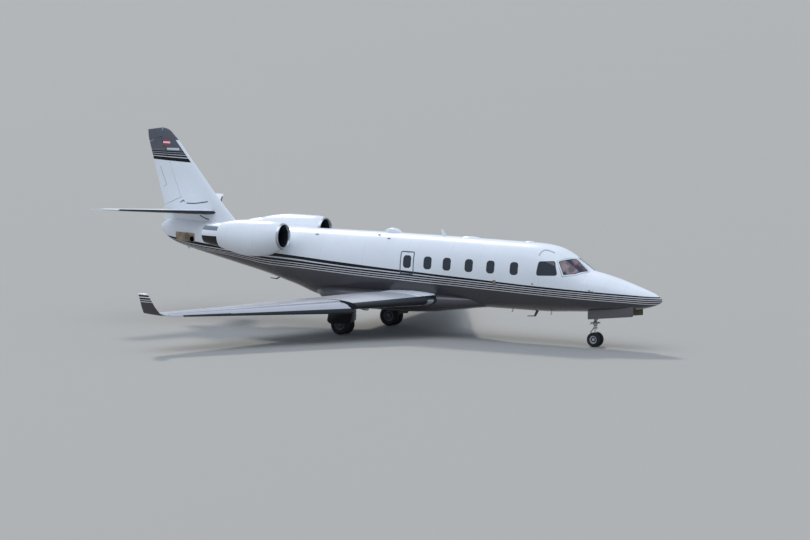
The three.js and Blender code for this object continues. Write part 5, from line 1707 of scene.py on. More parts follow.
# Half a tyre's profile: share of the side height above the bead, share of the half width
TYRE = ((0.00, 0.70), (0.10, 0.80), (0.28, 0.95), (0.42, 1.00), (0.58, 0.99), (0.74, 0.92), (0.86, 0.81),
        (0.94, 0.68), (0.985, 0.52), (0.993, 0.36), (0.997, 0.335), (0.955, 0.325), (0.955, 0.275),
        (0.998, 0.265), (1.000, 0.08), (1.000, 0.065), (0.958, 0.055), (0.958, 0.0))

# Half a wheel's profile: distance from the axle as a share of the rim radius, then out as a share of half
# the width
RIM = ((0.99, 0.0), (0.99, 0.60), (1.03, 0.70), (1.05, 0.745), (1.02, 0.765), (0.93, 0.74), (0.88, 0.60),
       (0.86, 0.36), (0.74, 0.30), (0.60, 0.34), (0.46, 0.42), (0.40, 0.50), (0.30, 0.54), (0.22, 0.56),
       (0.20, 0.68), (0.0, 0.70))

# Back of a rim in the same shares, the vents and tie bolts round it, and where its dark brake shows
RIM_BACK = ((0.99, -0.70), (0.95, -0.72), (0.86, -0.66), (0.0, -0.66))
VENTS = {"count": 8, "at": 0.665, "radius": 0.085, "reach": (0.1, 1.2)}
TIE_BOLTS = {"at": 0.50, "out": 0.40, "radius": 0.045, "rise": 0.06}
BRAKE_SHOWS = (0.38, 0.78)

# The main leg's post as shares of its radius over heights above the pivot
LEG_POST = ((0.0, 0.0), (0.80, 0.0), (1.0, 0.014), (1.0, 0.085), (0.86, 0.10), (0.86, 0.30), (1.0, 0.315),
            (1.0, 0.365), (0.9, 0.38), (0.9, 0.509), (0.8, 0.519), (0.0, 0.519))

# The shock strut's cylinder and piston: share of the way from the wing down to the arm, radius
SHOCK_BODY = ((0.0, 0.024), (0.03, 0.024), (0.05, 0.033), (0.4992, 0.033), (0.52, 0.028))
SHOCK_PISTON = ((0.494, 0.019), (0.94, 0.019), (0.945, 0.027), (1.0, 0.027))

# Brake lines from the wing to the axle: x from the pivot, share of their sideways shift, z
BRAKE_LINE = ((0.050, 1.0, 0.93), (0.066, 1.0, 0.80), (0.070, 1.0, 0.62), (0.046, 1.6, 0.50),
              (-0.060, 2.0, 0.535), (-0.200, 2.1, 0.462), (-0.290, 2.0, 0.382))
BRAKE_LINE_SHIFT = 0.016
BRAKE_LINE_RADIUS = 0.0055

# Ends of the shock strut: x from the leg's pivot and z from its top, then x and z from the axle
SHOCK_ENDS = ((-0.095, -0.039), (0.090, 0.098))

# The stay between a leg and its door, and the ribs inside the door: radius, then how far they stand in
STAY_RADIUS = 0.018
RIB_DEPTH = 0.014
DOOR_RIBS = {"x": (-1.18, -0.90, -0.66), "half": 0.012, "foot": 0.36, "top": 0.84}

# Round bars of the nose leg between places (x from the leg, y, z), then radius and number of sides
NOSE_BRACES = (((0.020, 0, 0.860), (0.755, 0, 1.330), 0.024, 24),
               ((0.0, -0.200, 1.250), (0.0, 0.200, 1.250), 0.034, 28))
TORQUE_LINKS = tuple(((x, way * 0.022, z), (-0.150, way * 0.006, 0.400), 0.009, 14)
                     for x, z in ((-0.040, 0.300), (-0.045, 0.530)) for way in (-1, 1))
TORQUE_PINS = tuple(((x, -half, z), (x, half, z), radius, 18) for x, z, half, radius in (
    (-0.150, 0.400, 0.024, 0.013), (-0.045, 0.530, 0.028, 0.011), (-0.040, 0.300, 0.028, 0.011)))
RAM_X = (-0.115, -0.095, -0.090, 0.075, 0.080, 0.105)
RAM_RADII = (0.012, 0.012, 0.024, 0.024, 0.016, 0.016)
STEERING_BARS = (((-0.040, 0, 0.700), (-0.170, 0, 0.610), 0.010, 14),
                 ((0.050, -0.030, 0.760), (0.050, 0.030, 0.760), 0.020, 18))

# Collars on the nose leg: (radius, height) round the fork and round the sleeve, and their feet
FORK_COLLAR = ((0.029, 0.0), (0.052, 0.004), (0.060, 0.016), (0.060, 0.044), (0.052, 0.056), (0.029, 0.060))
FORK_COLLAR_Z = 0.505
STEERING_COLLAR = ((0.047, 0.0), (0.060, 0.0), (0.068, 0.010), (0.068, 0.085), (0.060, 0.095), (0.047, 0.095))
STEERING_COLLAR_Z = 0.605


def tyre(name, wheel, y):
    """A tyre with grooves round its tread."""
    half, bead = wheel["width"] / 2, wheel["rim"] + GAP
    side = [(bead + up * (wheel["radius"] - bead), out * half) for up, out in TYRE]
    profile = side + [(r, -d) for r, d in reversed(side[:-1])]
    return lathe(name, profile, (wheel["x"], y, wheel["radius"]), ACROSS, WHEEL_SIDES, closed=True)


def spokes(count, shift=0.0):
    """Directions evenly round an axle."""
    angles = (2 * math.pi * (k + shift) / count for k in range(count))
    return [Vector((math.cos(a), 0, math.sin(a))) for a in angles]


def hub_set(name, wheel, y):
    """Two dished rims on one axle, with ventilation holes."""
    half, rim = wheel["width"] / 2, wheel["rim"]
    centre = Vector((wheel["x"], y, wheel["radius"]))
    parts = []
    for out in (ACROSS, -ACROSS):
        middle = centre + out * wheel["spacing"]
        profile = [(rim * share, half * reach) for share, reach in (*reversed(RIM), *RIM_BACK)]
        dish = lathe("rim", profile, middle, out, WHEEL_SIDES)
        vents = []
        for spoke in spokes(VENTS["count"], 0.5):
            ends = [middle + spoke * rim * VENTS["at"] + out * half * reach for reach in VENTS["reach"]]
            vents.append(tube("vent", ends, rim * VENTS["radius"], 20))
        parts.append(carved(dish, [joined("vents", vents)]))
    reach = ACROSS * (wheel["spacing"] - half * 0.5)
    parts.append(tube("axle", [centre - reach, centre + reach], wheel["axle"], 32))
    return joined(name, parts)


def tie_bolts(name, wheel, y):
    """Bolt heads round both rims."""
    centre, rim = Vector((wheel["x"], y, wheel["radius"])), wheel["rim"]
    reach = wheel["spacing"] + wheel["width"] / 2 * TIE_BOLTS["out"]
    places = [(centre + out * reach + spoke * rim * TIE_BOLTS["at"], out) for out in (ACROSS, -ACROSS)
              for spoke in spokes(sizes().tie_bolts)]
    return fastened(name, places, dome(rim * TIE_BOLTS["radius"], rim * TIE_BOLTS["rise"], 6), M["bright"])


def wheel_pair(label, wheel, y, side, finish, body):
    """Two wheels on one axle: rims, bolts and tyres."""
    hubs = hub_set(f"{label}_rims", wheel, y)
    dress(hubs, finish, [f"{label}_hubs"], body, 30)
    near, far = BRAKE_SHOWS
    paint_faces(hubs, "dark_hub", lambda c, n: near < math.hypot(c.x - wheel["x"], c.z - wheel["radius"])
                / wheel["rim"] < far)
    dress(tie_bolts(f"{label}_tie_bolts", wheel, y), None, body=body)
    for which, way in (("outer", side), ("inner", -side)):
        rubber = tyre(f"{label}_tyre_{which}_tread", wheel, y + way * wheel["spacing"])
        dress(rubber, "tyre", [f"{label}_tyre_{which}"], body, 40)


def build_wheels():
    """Tyres, rims and tie bolts of the six wheels."""
    for name, side in SIDES:
        # The main wheels' rims take the darker grey, painted shade
        wheel_pair(f"main_{name}", MAIN, side * MAIN["y"], side, "main_hub", f"main_wheels_{name}")
    wheel_pair("nose", NOSE, NOSE["y"], 1, "hub", "nose_wheels")


def plate(name, outline, near, far, radius=0.03):
    """A flat plate with round corners and softened edges, between two places along y."""
    corners = rounded_corners([(x, 0.0, z) for x, z in outline], radius)
    return softened(side_prism(name, [(p.x, p.z) for p in corners], near, far), 0.003)


def bars(rows, x=0.0):
    """Round bars through places with x counted from a leg."""
    return [tube("bar", [(x + place[0], *place[1:]) for place in places], radius, sides)
            for *places, radius, sides in rows]


def stepped(name, start, end, rows):
    """A round bar from one point to another with rows of share and radius."""
    return tube(name, [start.lerp(end, share) for share, _ in rows], [radius for _, radius in rows], 28)


def build_main_leg(name, side):
    """One trailing-arm main leg with its shock strut and brake lines."""
    x, z, strut, half = (MAIN_LEG[key] for key in ("pivot_x", "pivot_z", "strut", "half"))
    y = side * MAIN["y"]
    post = lathe("post", [(strut * share, height) for share, height in LEG_POST], (x, y, z), UP, 40)
    arm = plate("arm", TRAILING_ARM, y - half, y + half, 0.04)
    bolt = tube("pivot", [(x, y - half - 0.013, z), (x, y + half + 0.013, z)], strut - 0.002, 32)
    boss = tube("boss", [(MAIN["x"], y + way * half, MAIN["radius"]) for way in (-1, 1)], strut, 40)
    pins = softened(joined("pins", [bolt, boss]), 0.004)
    dress_all(f"main_leg_{name}_frame", [post, arm, pins], "leg", [f"main_leg_{name}"])

    (high_x, high_z), (low_x, low_z) = SHOCK_ENDS
    high = Vector((x + high_x, y, MAIN_LEG["top"] + high_z))
    low = Vector((MAIN["x"] + low_x, y, MAIN["radius"] + low_z))
    dress(stepped(f"shock_body_{name}", high, low, SHOCK_BODY), "leg")
    dress(stepped(f"shock_piston_{name}", high, low, SHOCK_PISTON), "chrome")
    lines = []
    for shift in (-BRAKE_LINE_SHIFT, BRAKE_LINE_SHIFT):
        path = smoothed_path([(x + ahead, y + shift * out, height) for ahead, out, height in BRAKE_LINE])
        lines.append(tube("line", path, BRAKE_LINE_RADIUS, 10))
    dress_all(f"main_leg_{name}_brake_lines", lines, "hose")


def build_leg_door(name, side):
    """The plate on the outside of one main leg, with its stay and ribs."""
    near, far = side * MAIN_DOOR["y"], side * (MAIN_DOOR["y"] + MAIN_DOOR["thickness"])
    skin = plate(f"main_leg_door_{name}_panel", MAIN_DOOR["outline"], near, far, 0.05)
    # The door's outside is near black, painted shade
    dress(skin, "leg_door", [f"main_leg_door_{name}"], angle=30)
    paint_faces(skin, "primer", lambda c, n: n.y * side < -0.9)
    ends = (side * (MAIN["y"] + MAIN_LEG["strut"] * 0.9), side * (MAIN_DOOR["y"] + 0.001))
    stay = tube("stay", [(MAIN_LEG["pivot_x"], y, MAIN_LEG["stay"]) for y in ends], STAY_RADIUS, 20)
    half, foot, top = (DOOR_RIBS[key] for key in ("half", "foot", "top"))
    ribs = [plate("rib", ((x - half, foot), (x + half, foot), (x + half, top), (x - half, top)),
                  near - side * RIB_DEPTH, near + side * 0.002, 0.008) for x in DOOR_RIBS["x"]]
    dress_all(f"main_leg_door_{name}_frame", [stay, *ribs], "primer")


def build_main_legs():
    """Both main legs with their leg doors."""
    for name, side in SIDES:
        build_main_leg(name, side)
        build_leg_door(name, side)


def build_nose_leg():
    """Nose leg with its steering gear, steered fork with torque links, and the two nose doors."""
    x, radius, n = NOSE["x"], NOSE["radius"], NOSE_LEG
    bore, height, bearing = n["piston"] + 0.006, n["top"] - n["collar"], n["bearing"] - n["collar"]
    profile = ((bore, 0.0), (n["sleeve"], 0.0), (n["sleeve"], 0.05), (n["sleeve"] * 0.84, 0.06),
               (n["sleeve"] * 0.84, 0.30), (n["sleeve"], 0.32), (n["sleeve"], height), (0.0, height),
               (0.0, bearing + 0.041), (bore, bearing + 0.040))
    sleeve = lathe("sleeve", profile, (x, 0, n["collar"]), UP, 40, closed=True)
    dress_all("nose_leg_frame", [sleeve, *bars(NOSE_BRACES, x)], "leg", ["nose_leg"])

    piston = tube("nose_piston", [(x, 0, radius), (x, 0, n["bearing"])], n["piston"], 36)
    dress(piston, "chrome", ["nose_fork"], "nose_fork")
    collar = lathe("collar", FORK_COLLAR, (x, 0, FORK_COLLAR_Z), UP, 36, closed=True)
    knuckle = softened(tube("knuckle", [(x, -0.034, radius), (x, 0.034, radius)], 0.045, 32), 0.004)
    lug = block("lug", (x + 0.030, -0.020, radius - 0.020), (x + 0.095, 0.020, radius + 0.020))
    parts = [collar, knuckle, softened(lug, 0.003), *bars(TORQUE_LINKS, x), *bars(TORQUE_PINS, x)]
    dress_all("nose_fork_parts", parts, "bright", body="nose_fork")

    collar = lathe("collar", STEERING_COLLAR, (x, 0, STEERING_COLLAR_Z), UP, 36, closed=True)
    rams = [row for way in (-1, 1) for row in (
        (*((ahead, way * 0.088, 0.668) for ahead in RAM_X), RAM_RADII, 20),
        ((0, way * 0.050, 0.650), (0, way * 0.094, 0.668), 0.016, 16))]
    dress_all("nose_steering_gear", [collar, *bars(rams, x), *bars(STEERING_BARS, x)], "bright")

    for name, side in SIDES:
        reach = (side * NOSE_DOOR["y"], side * (NOSE_DOOR["y"] + NOSE_DOOR["thickness"]))
        skin = carved(plate(f"nose_door_{name}_panel", NOSE_DOOR["outline"], *reach), [fuselage_solid()])
        dress(skin, "nose_door", [f"nose_door_{name}"], angle=30)
        paint_faces(skin, "primer", lambda c, n: n.y * side < -0.9)


# Cabin and cockpit fittings

FLOOR_Z = 1.080
FLOOR_THICKNESS = 0.040

# Seats of one side: x and the way that they face; then how far they stand from the centre plane
CABIN_SEATS = ((3.450, -1), (2.250, 1), (1.350, 1), (0.300, 1))
CABIN_ROW_Y = 0.330
CREW_SEATS = {"x": 4.950, "y": 0.300}

# Frame of a seat: x, y and z reach from its foot on the floor, and the rounding of its edges
SEAT_FRAME = (
    ((-0.20, 0.20), (-0.07, 0.07), (0.001, 0.240), 0.012),
    ((-0.26, 0.24), (-0.205, 0.205), (0.225, 0.290), 0.018),
    ((-0.20, 0.18), (-0.214, -0.190), (0.290, 0.500), 0.011),
    ((-0.20, 0.18), (0.190, 0.214), (0.290, 0.500), 0.011),
)

# Pads of a seat: name, x, y and z reach, share of the thickness that the crown takes, sewn channels
SEAT_PADS = (
    ("cushion", (-0.25, 0.26), (-0.188, 0.188), (0.285, 0.420), 0.26, 3),
    ("back", (-0.335, -0.205), (-0.196, 0.196), (0.340, 0.860), 0.24, 3),
    ("headrest", (-0.330, -0.225), (-0.130, 0.130), (0.862, 0.998), 0.28, 0),
)

# Boards of the instrument panel: rear x, front x, half width, low z, high z; then the displays on it
BOARDS = ((5.620, 5.780, 0.560, 1.560, 1.960), (5.300, 5.700, 0.110, 1.0803, 1.700),
          (5.600, 5.860, 0.540, 1.930, 1.985))
DISPLAYS = {"y": (-0.36, -0.12, 0.12, 0.36), "x": (5.612, 5.622), "half": 0.095, "z": (1.660, 1.880)}

# A control wheel: x, middle height, half width, drop of its arc, half its turn in degrees and radius of its
# rim; then the ends of its column as x and z, and the column's radius
YOKE = {"x": 5.41, "z": 1.69, "half": 0.13, "drop": 0.10, "turn": 120, "rim": 0.012}
COLUMN = ((5.62, 1.62), (5.42, 1.66))
COLUMN_RADIUS = 0.014

# The carpet's front end, its gap to the wall, and how far the instrument board keeps off the wall
CARPET_TO = 5.90
CARPET_GAP = 0.0005
BOARD_FREE = 0.025


def cushion(name, low, high, crown, channels=0):
    """A crowned, closed pad between two corners, its sides drawn in and its top sewn into channels."""
    size = Vector(high) - Vector(low)
    middle = (Vector(high) + Vector(low)) / 2
    thin = min(range(3), key=lambda axis: size[axis])
    wide = [axis for axis in range(3) if axis != thin]
    grid = bmesh.new()
    bmesh.ops.create_cube(grid, size=2.0)
    bmesh.ops.subdivide_edges(grid, edges=grid.edges, cuts=7, use_grid_fill=True)
    for vertex in grid.verts:
        u, v, w = (vertex.co[axis] for axis in (*wide, thin))
        swell = (1 - u ** 4) * (1 - v ** 4)
        place = Vector()
        place[wide[0]] = u * (1 - 0.035 * (1 - v * v) * abs(u) ** 3 - 0.02 * (w * w) * abs(u) ** 5)
        place[wide[1]] = v * (1 - 0.035 * (1 - u * u) * abs(v) ** 3 - 0.02 * (w * w) * abs(v) ** 5)
        groove = 0.0
        if channels:
            groove = 0.10 * math.exp(-(((v * channels / 2 + 0.5) % 1 - 0.5) * 7) ** 2) * swell
        place[thin] = w * (1 - crown + crown * swell - groove)
        vertex.co = Vector(middle[k] + place[k] * size[k] / 2 for k in range(3))
    mesh = bpy.data.meshes.new(name)
    grid.to_mesh(mesh)
    grid.free()
    return outward(modified(linked(name, mesh), "SUBSURF", levels=1, render_levels=1))


def seat(label, x, y, facing, nodes=()):
    """One seat: a pedestal, pan and arm rests, then its crowned cushion, back and headrest."""
    def corners(along, across, up):
        ends = sorted(x + facing * reach for reach in along)
        return [(ends[k], y + across[k], FLOOR_Z + up[k]) for k in (0, 1)]

    parts = [softened(block("part", *corners(*reach)), edge, 3) for *reach, edge in SEAT_FRAME]
    dress_all(f"{label}_frame", parts, "lining")
    for part, *reach, crown, channels in SEAT_PADS:
        pad = cushion(f"{label}_{part}", *corners(*reach), crown, channels)
        dress(pad, "leather", nodes if part == "cushion" else (), angle=80)


def build_cabin():
    """Floor carpet, seats, instrument panel and control columns."""
    rings = []
    under = FLOOR_Z - FLOOR_THICKNESS
    for x in stations(AFT_SEAM + 0.01, CARPET_TO):
        low, high = (fuselage_half_width(x, z, WALL) - CARPET_GAP for z in (under, FLOOR_Z))
        rings.append(np.array([(x, -low, under), (x, low, under), (x, high, FLOOR_Z), (x, -high, FLOOR_Z)]))
    dress(loft("cabin_carpet", rings), "carpet", ["cabin_floor"])

    for name, side in SIDES:
        for k, (x, facing) in enumerate(CABIN_SEATS):
            seat(f"seat_{name}_{k + 1}", x, side * CABIN_ROW_Y, facing,
                 [f"cabin_seats_{name}"] if k == 0 else ())
        seat(f"crew_seat_{name}", CREW_SEATS["x"], side * CREW_SEATS["y"], 1,
             ["cockpit_seats"] if side > 0 else ())

    boards = [softened(block("board", (rear, -half, foot), (front, half, top)), 0.012, 3)
              for rear, front, half, foot, top in BOARDS]
    inside = loft("inside", [fuselage_ring(x, WALL + BOARD_FREE)
                             for x in stations(COCKPIT_SEAM + 0.01, COCKPIT_GLASS_REACH[1])])
    panel = carved(joined("instrument_board", boards), [inside], "INTERSECT")
    dress(panel, "panel", ["instrument_panel"])
    (rear, front), (foot, top), half = DISPLAYS["x"], DISPLAYS["z"], DISPLAYS["half"]
    screens = [softened(block("screen", (rear, y - half, foot), (front, y + half, top)), 0.006)
               for y in DISPLAYS["y"]]
    dress_all("instrument_displays", screens, "display")
    yokes = []
    for y in (-CREW_SEATS["y"], CREW_SEATS["y"]):
        arc = [(YOKE["x"], y + YOKE["half"] * math.sin(a), YOKE["z"] - YOKE["drop"] * math.cos(a))
               for a in (math.radians(YOKE["turn"] * (k / 8 - 1)) for k in range(17))]
        column = [(x, y, z) for x, z in COLUMN]
        yokes += [tube("column", column, COLUMN_RADIUS, 16), tube("wheel", arc, YOKE["rim"], 12)]
    dress_all("control_wheels", yokes, "black")


# Outside fittings

# The satellite dome on the roof: x, half width, rise; then its foot
DOME = ((-0.420, 0.040, 0.010), (-0.330, 0.080, 0.090), (-0.140, 0.095, 0.130), (0.030, 0.080, 0.100),
        (0.150, 0.040, 0.010))
DOME_Z = {"top": 2.846, "foot": 2.781, "fullness": 2.2}

# Blade antennas: root, tip, chord at the root and at the tip
BLADE_ANTENNAS = (((1.551, 0, 2.800), (1.451, 0, 3.027), 0.16, 0.07),
                  ((-7.036, 0, 2.090), (-7.036, 0, 2.000), 0.15, 0.05))

# Bent antennas under the belly: top, knee and rear end of each
BENT_ANTENNAS = (((4.590, 0, 0.960), (4.478, 0, 0.740), (4.239, 0, 0.725)),
                 ((-3.830, 0, 1.400), (-4.020, 0, 1.288), (-4.231, 0, 1.305)))

# Flat domes on the roof: x, half length, half width; and their profile as share of the reach, and height
FLAT_DOMES = ((2.386, 0.285, 0.12), (4.28, 0.14, 0.09))
FLAT_DOME = ((0.0, -0.02), (1.0, -0.02), (1.0, 0.006), (0.92, 0.018), (0.72, 0.026), (0.4, 0.031),
             (0.0, 0.033))

# Drain masts under the belly: top, bend and foot of each
DRAIN_MASTS = (((3.936, -0.30, 0.950), (3.930, -0.30, 0.880), (3.900, -0.30, 0.850)),
               ((5.165, -0.30, 0.960), (5.160, -0.30, 0.880), (5.130, -0.30, 0.850)))

# Places on the fuselage side as x and z
PROBE = (6.50, 1.62)
STATIC_PORT = (4.79, 1.725)
AIR_VENTS = ((-2.394, 2.701), (-0.401, 2.784), (-0.013, 2.707))
DRIP_RAIL = ((4.900, 2.520), (4.915, 2.580), (4.945, 2.640), (5.020, 2.660), (5.130, 2.645), (5.290, 2.600))

# Grips on the exits and doors: x, z, half length, lift, radius
EXIT_GRIPS = ((OVERWING_EXIT["x"], 2.385, 0.05, 0.004, 0.006), (0.50, 1.845, 0.035, 0.0, 0.008))
DOOR_GRIPS = {"cabin_door": (CABIN_DOOR["x"] + 0.20, 1.70, 0.06, 0.006, 0.007),
              "baggage_door": (BAGGAGE_DOOR["x"], 1.88, 0.06, 0.006, 0.007)}

# Plates on the skin: rear x, front x, low z, high z, rise, corner radius
STEP_PLATE = (3.53, 3.63, 1.64, 1.76, 0.003, 0.012)
HEAT_PANEL = (-7.344, -6.615, 2.240, 2.500, 0.004, 0.04)

# Landing lamp lenses in the wing roots, tip lamps, and static wicks on the ailerons as y, x, z
LANDING_LAMP = {"from": 0.90, "to": 1.06, "reach": 0.080, "above": 0.003, "grow": 0.0035}
TIP_LAMP = ((0.0, -0.05), (0.014, -0.045), (0.018, 0.0), (0.014, 0.04), (0.0, 0.05))
TIP_LAMP_AT = (-2.700, 8.07, 1.024)
WICKS = ((5.75, -2.80, 1.012), (6.70, -2.99, 1.018), (7.60, -3.18, 1.028))
POD = ((0.0, 0.0), (0.024, 0.02), (0.042, 0.07), (0.042, 0.16), (0.022, 0.26), (0.0, 0.32))
POD_AT = (0.50, 2.42, 0.895)

# The banded patch on the fin
PATCH = {"rear": -7.910, "front": -7.670, "top": 5.154, "band": 0.049, "middle": (-7.8, 5.08)}

# Lines on the fin sides as (x, z): the slot and hook over the tailplane, the slot under it, and on the
# rudder the edges of its tab
FIN_SLOTS = (((-7.294, 3.343), (-7.191, 3.413), (-7.160, 3.365)),
             ((-7.076, 3.331), (-6.741, 3.345), (-6.338, 3.413)),
             ((-6.604, 3.002), (-6.431, 2.929), (-6.293, 2.893)))
TAB_LINES = (((-8.025, 4.372), (-7.795, 3.834)), ((-7.795, 3.834), (-7.905, 3.790)))

# Frames that rivet rows follow, and the spread of a double row
RIVET_ROWS = (-5.60, -5.05, -4.40, -3.75, -3.00, -2.20, -1.10, 0.0, 1.10, 3.10, 4.80, 5.85, 6.27, 6.95, 7.50)
RIVET_SPREAD = 0.018


# A pitot probe: radius, reach of its root behind and before the skin, reach of its bend, and how far ahead
# its bend and its tip are; then the discs at its foot and on the static port: depth, height, radius
PITOT = {"radius": 0.010, "root": (-0.02, 0.05), "out": 0.075, "ahead": (0.03, 0.16)}
PITOT_FOOT = (0.005, 0.004, 0.032)
PORT_DISC = (0.01, 0.004, 0.030)

# Radii of the masts and the drip rails, the lift of the rails off the skin, and the blade and foot of a bent
# antenna: chord at the root and knee, thickness, then the foot's radii
MAST_RADIUS = 0.014
RAIL = {"radius": 0.017, "lift": 0.006}
BENT_BLADE = (0.11, 0.07, 0.020)
BENT_FOOT = [0.012, 0.014, 0.011]

# Bottom depth and station step of the thin layer that patches and exit frames are cut from, and how far
# the exit frames stand out
PATCH_BOTTOM = 0.004
LAYER_STEP = 0.04
EXIT_RISE = 0.0022

# An air vent: half length, depth of its ends, height of its middle, radii
SCOOP = {"half": 0.07, "deep": 0.01, "high": 0.012, "radii": [0.010, 0.020, 0.008]}
WICK = {"length": 0.11, "drop": 0.004, "radii": [0.004, 0.002]}


def skin_place(x, z, side=-1, lift=0.0):
    """A point on the fuselage side and the way that the skin faces there."""
    spot = np.array([[x, side * fuselage_half_width(x, z), z]])
    way = Vector(fuselage_normals(spot)[0])
    return Vector(spot[0]) + way * lift, way


def blade_fin(root, tip, root_chord, tip_chord, thick=0.012):
    """A thin swept blade from its root to its tip."""
    rings = []
    for share in np.linspace(0, 1, 7):
        middle = Vector(root).lerp(Vector(tip), float(share))
        chord, wide = root_chord + (tip_chord - root_chord) * share, thick * (1 - 0.45 * share)
        rings.append(np.array([
            (middle.x + chord / 2 * math.cos(a), middle.y + wide / 2 * math.sin(a), middle.z)
            for a in (2 * math.pi * k / 24 for k in range(24))]))
    return loft("blade", rings)


def raised_patch(side, rear, front, low, high, rise, radius):
    """A thin plate lying on one side of the fuselage."""
    outline = rounded_outline((rear + front) / 2, (low + high) / 2, front - rear, high - low, radius)
    return carved(shell("patch", rear - 0.05, front + 0.05, -rise, PATCH_BOTTOM, LAYER_STEP),
                  [side_prism("edge", outline, side * 0.02, side * 0.98)], "INTERSECT")


def grip(name, side, x, z, half, lift, radius):
    """A straight grip along the fuselage side."""
    spot, _ = skin_place(x, z, side, lift)
    return tube(name, [spot - Vector((half, 0, 0)), spot + Vector((half, 0, 0))], radius, 12)


def build_antennas():
    """The satellite dome, blades, bent antennas, flat domes and drain masts."""
    rings = []
    for x in np.linspace(DOME[-1][0], DOME[0][0], 31):
        _, half, rise = smooth(DOME, float(x))
        rings.append(oval(x, DOME_Z["top"] + rise, DOME_Z["foot"], half, DOME_Z["fullness"], 48))
    dress(loft("satellite_dome", rings), "white", ["antenna_dome"])
    dress_all("blade_antennas", [blade_fin(*row) for row in BLADE_ANTENNAS], "white")
    bent = []
    for top, knee, rear in BENT_ANTENNAS:
        foot = [Vector(knee) + Vector((0.03, 0, 0)), knee, rear]
        bent += [blade_fin(top, knee, *BENT_BLADE), tube("foot", foot, BENT_FOOT, 12)]
    dress_all("bent_antennas", bent, "antenna")
    domes = []
    for x, reach, wide in FLAT_DOMES:
        cap = lathe("flat_dome", FLAT_DOME, (0, 0, 0), UP, 40)
        top = Matrix.Translation((x, 0, fuselage_row(x)[0]))
        cap.data.transform(top @ Matrix.Diagonal((reach, wide, 1, 1)))
        domes.append(outward(cap))
    dress_all("flat_antenna_domes", domes, "white")
    masts = [tube("mast", smoothed_path(points), MAST_RADIUS, 12) for points in DRAIN_MASTS]
    dress_all("drain_masts", masts, "bright")


def build_probes():
    """Pitot probes, static ports, grips, exit frames and drip rails."""
    probes = []
    for side in (-1, 1):
        spot, way = skin_place(*PROBE, side)
        path = [spot + way * reach for reach in PITOT["root"]]
        path += [spot + way * PITOT["out"] + Vector((ahead, 0, 0)) for ahead in PITOT["ahead"]]
        probes.append(tube("probe", smoothed_path(path), PITOT["radius"], 12))
        for (at, out), (deep, high, radius) in (((spot, way), PITOT_FOOT),
                                                (skin_place(*STATIC_PORT, side), PORT_DISC)):
            probes.append(tube("disc", [at - out * deep, at + out * high], radius, 24))
    dress_all("pitot_probes", probes, "bright")

    x, width, band = (OVERWING_EXIT[key] for key in ("x", "width", "band"))
    frames = [carved(shell("exit", x - width, x + width, -EXIT_RISE, PATCH_BOTTOM, LAYER_STEP),
                     [ring_tool(door_tool, OVERWING_EXIT, side, outer=0.0, inner=band)], "INTERSECT")
              for side in (-1, 1)]
    dress_all("overwing_exit_frames", frames, "exit_rim", angle=20)
    for body, row in DOOR_GRIPS.items():
        dress(grip(f"{body}_handle", 1, *row), "bright", body=body)
    grips = [grip("grip", side, *row) for side in (-1, 1) for row in EXIT_GRIPS]
    dress_all("exit_handles", grips, "seal")
    paths = [[skin_place(*place, side, RAIL["lift"])[0] for place in DRIP_RAIL] for side in (-1, 1)]
    rails = [tube("rail", smoothed_path(path), RAIL["radius"], 12) for path in paths]
    dress_all("cockpit_drip_rails", rails, "rail")


def build_plates():
    """The plates beside the doors, the heat panels with the exhaust lip, and the air vents."""
    plates = [raised_patch(side, *STEP_PLATE) for side in (-1, 1)]
    dress_all("door_step_plates", plates, "copper")
    panels = [raised_patch(side, *HEAT_PANEL) for side in (-1, 1)]
    carved(panels[0], [exhaust_tool("hole", EXHAUST["radius"] + 0.0005)])
    dress_all("exhaust_heat_panels", panels, "heat_panel", angle=25)
    outer = EXHAUST["lip"]
    profile = ((outer, -0.07), (outer, 0.006), (0.075, 0.008), (0.071, 0.004), (0.071, -0.07))
    lip = lathe("auxiliary_exhaust_lip", profile, *skin_place(EXHAUST["x"], EXHAUST["z"]), 40, closed=True)
    dress(lip, "hot_dark")
    vents = []
    for spot, way in (skin_place(*place) for place in AIR_VENTS):
        front, rear = (spot - way * SCOOP["deep"] + Vector((reach, 0, 0))
                       for reach in (SCOOP["half"], -SCOOP["half"]))
        vents.append(tube("scoop", [front, spot + way * SCOOP["high"], rear], SCOOP["radii"], 16))
    dress_all("air_vents", vents, "rim")


def landing_lamp(side):
    """A lens over the wing's leading edge, rounded at both ends."""
    lamp = LANDING_LAMP
    middle, half = (lamp["from"] + lamp["to"]) / 2, (lamp["to"] - lamp["from"]) / 2
    rings = []
    for span in np.linspace(lamp["from"], lamp["to"], 9):
        section = section_at(WING_INNER, float(span), side, CAMBER, lamp["grow"])
        reach = lamp["reach"] * math.sqrt(max(1 - (abs(span - middle) / half) ** 4, 0.02))
        face = [foil_point(section, lamp["above"] * (k / 8) ** 2 + 0.0004, 1) for k in range(8, -1, -1)]
        face += [foil_point(section, reach * (k / 8) ** 2 + 0.0004, -1) for k in range(9)]
        rings.append(np.array([tuple(p) for p in face]))
    return loft("lamp", rings)


def build_lamps():
    """Landing and tip lamps, static wicks and the pods under the wings."""
    dress_all("landing_lamp_lenses", [landing_lamp(side) for _, side in SIDES], "lens")
    x, y, z = TIP_LAMP_AT
    for name, side in SIDES:
        lens = lathe(f"navigation_lamp_{name}", TIP_LAMP, (x, side * y, z), (-0.75, side * 0.66, 0.0), 20)
        dress(lens, "lens")
        rods = [tube("wick", [(ahead, side * out, up),
                              (ahead - WICK["length"], side * out, up - WICK["drop"])], WICK["radii"], 8)
                for out, ahead, up in WICKS]
        dress_all(f"aileron_{name}_static_wicks", rods, "black", body=f"aileron_{name}")
    x, y, z = POD_AT
    pods = [lathe("pod", POD, (x, side * y, z), (-1, 0, 0), 24) for side in (-1, 1)]
    dress_all("under_wing_pods", pods, "bright")


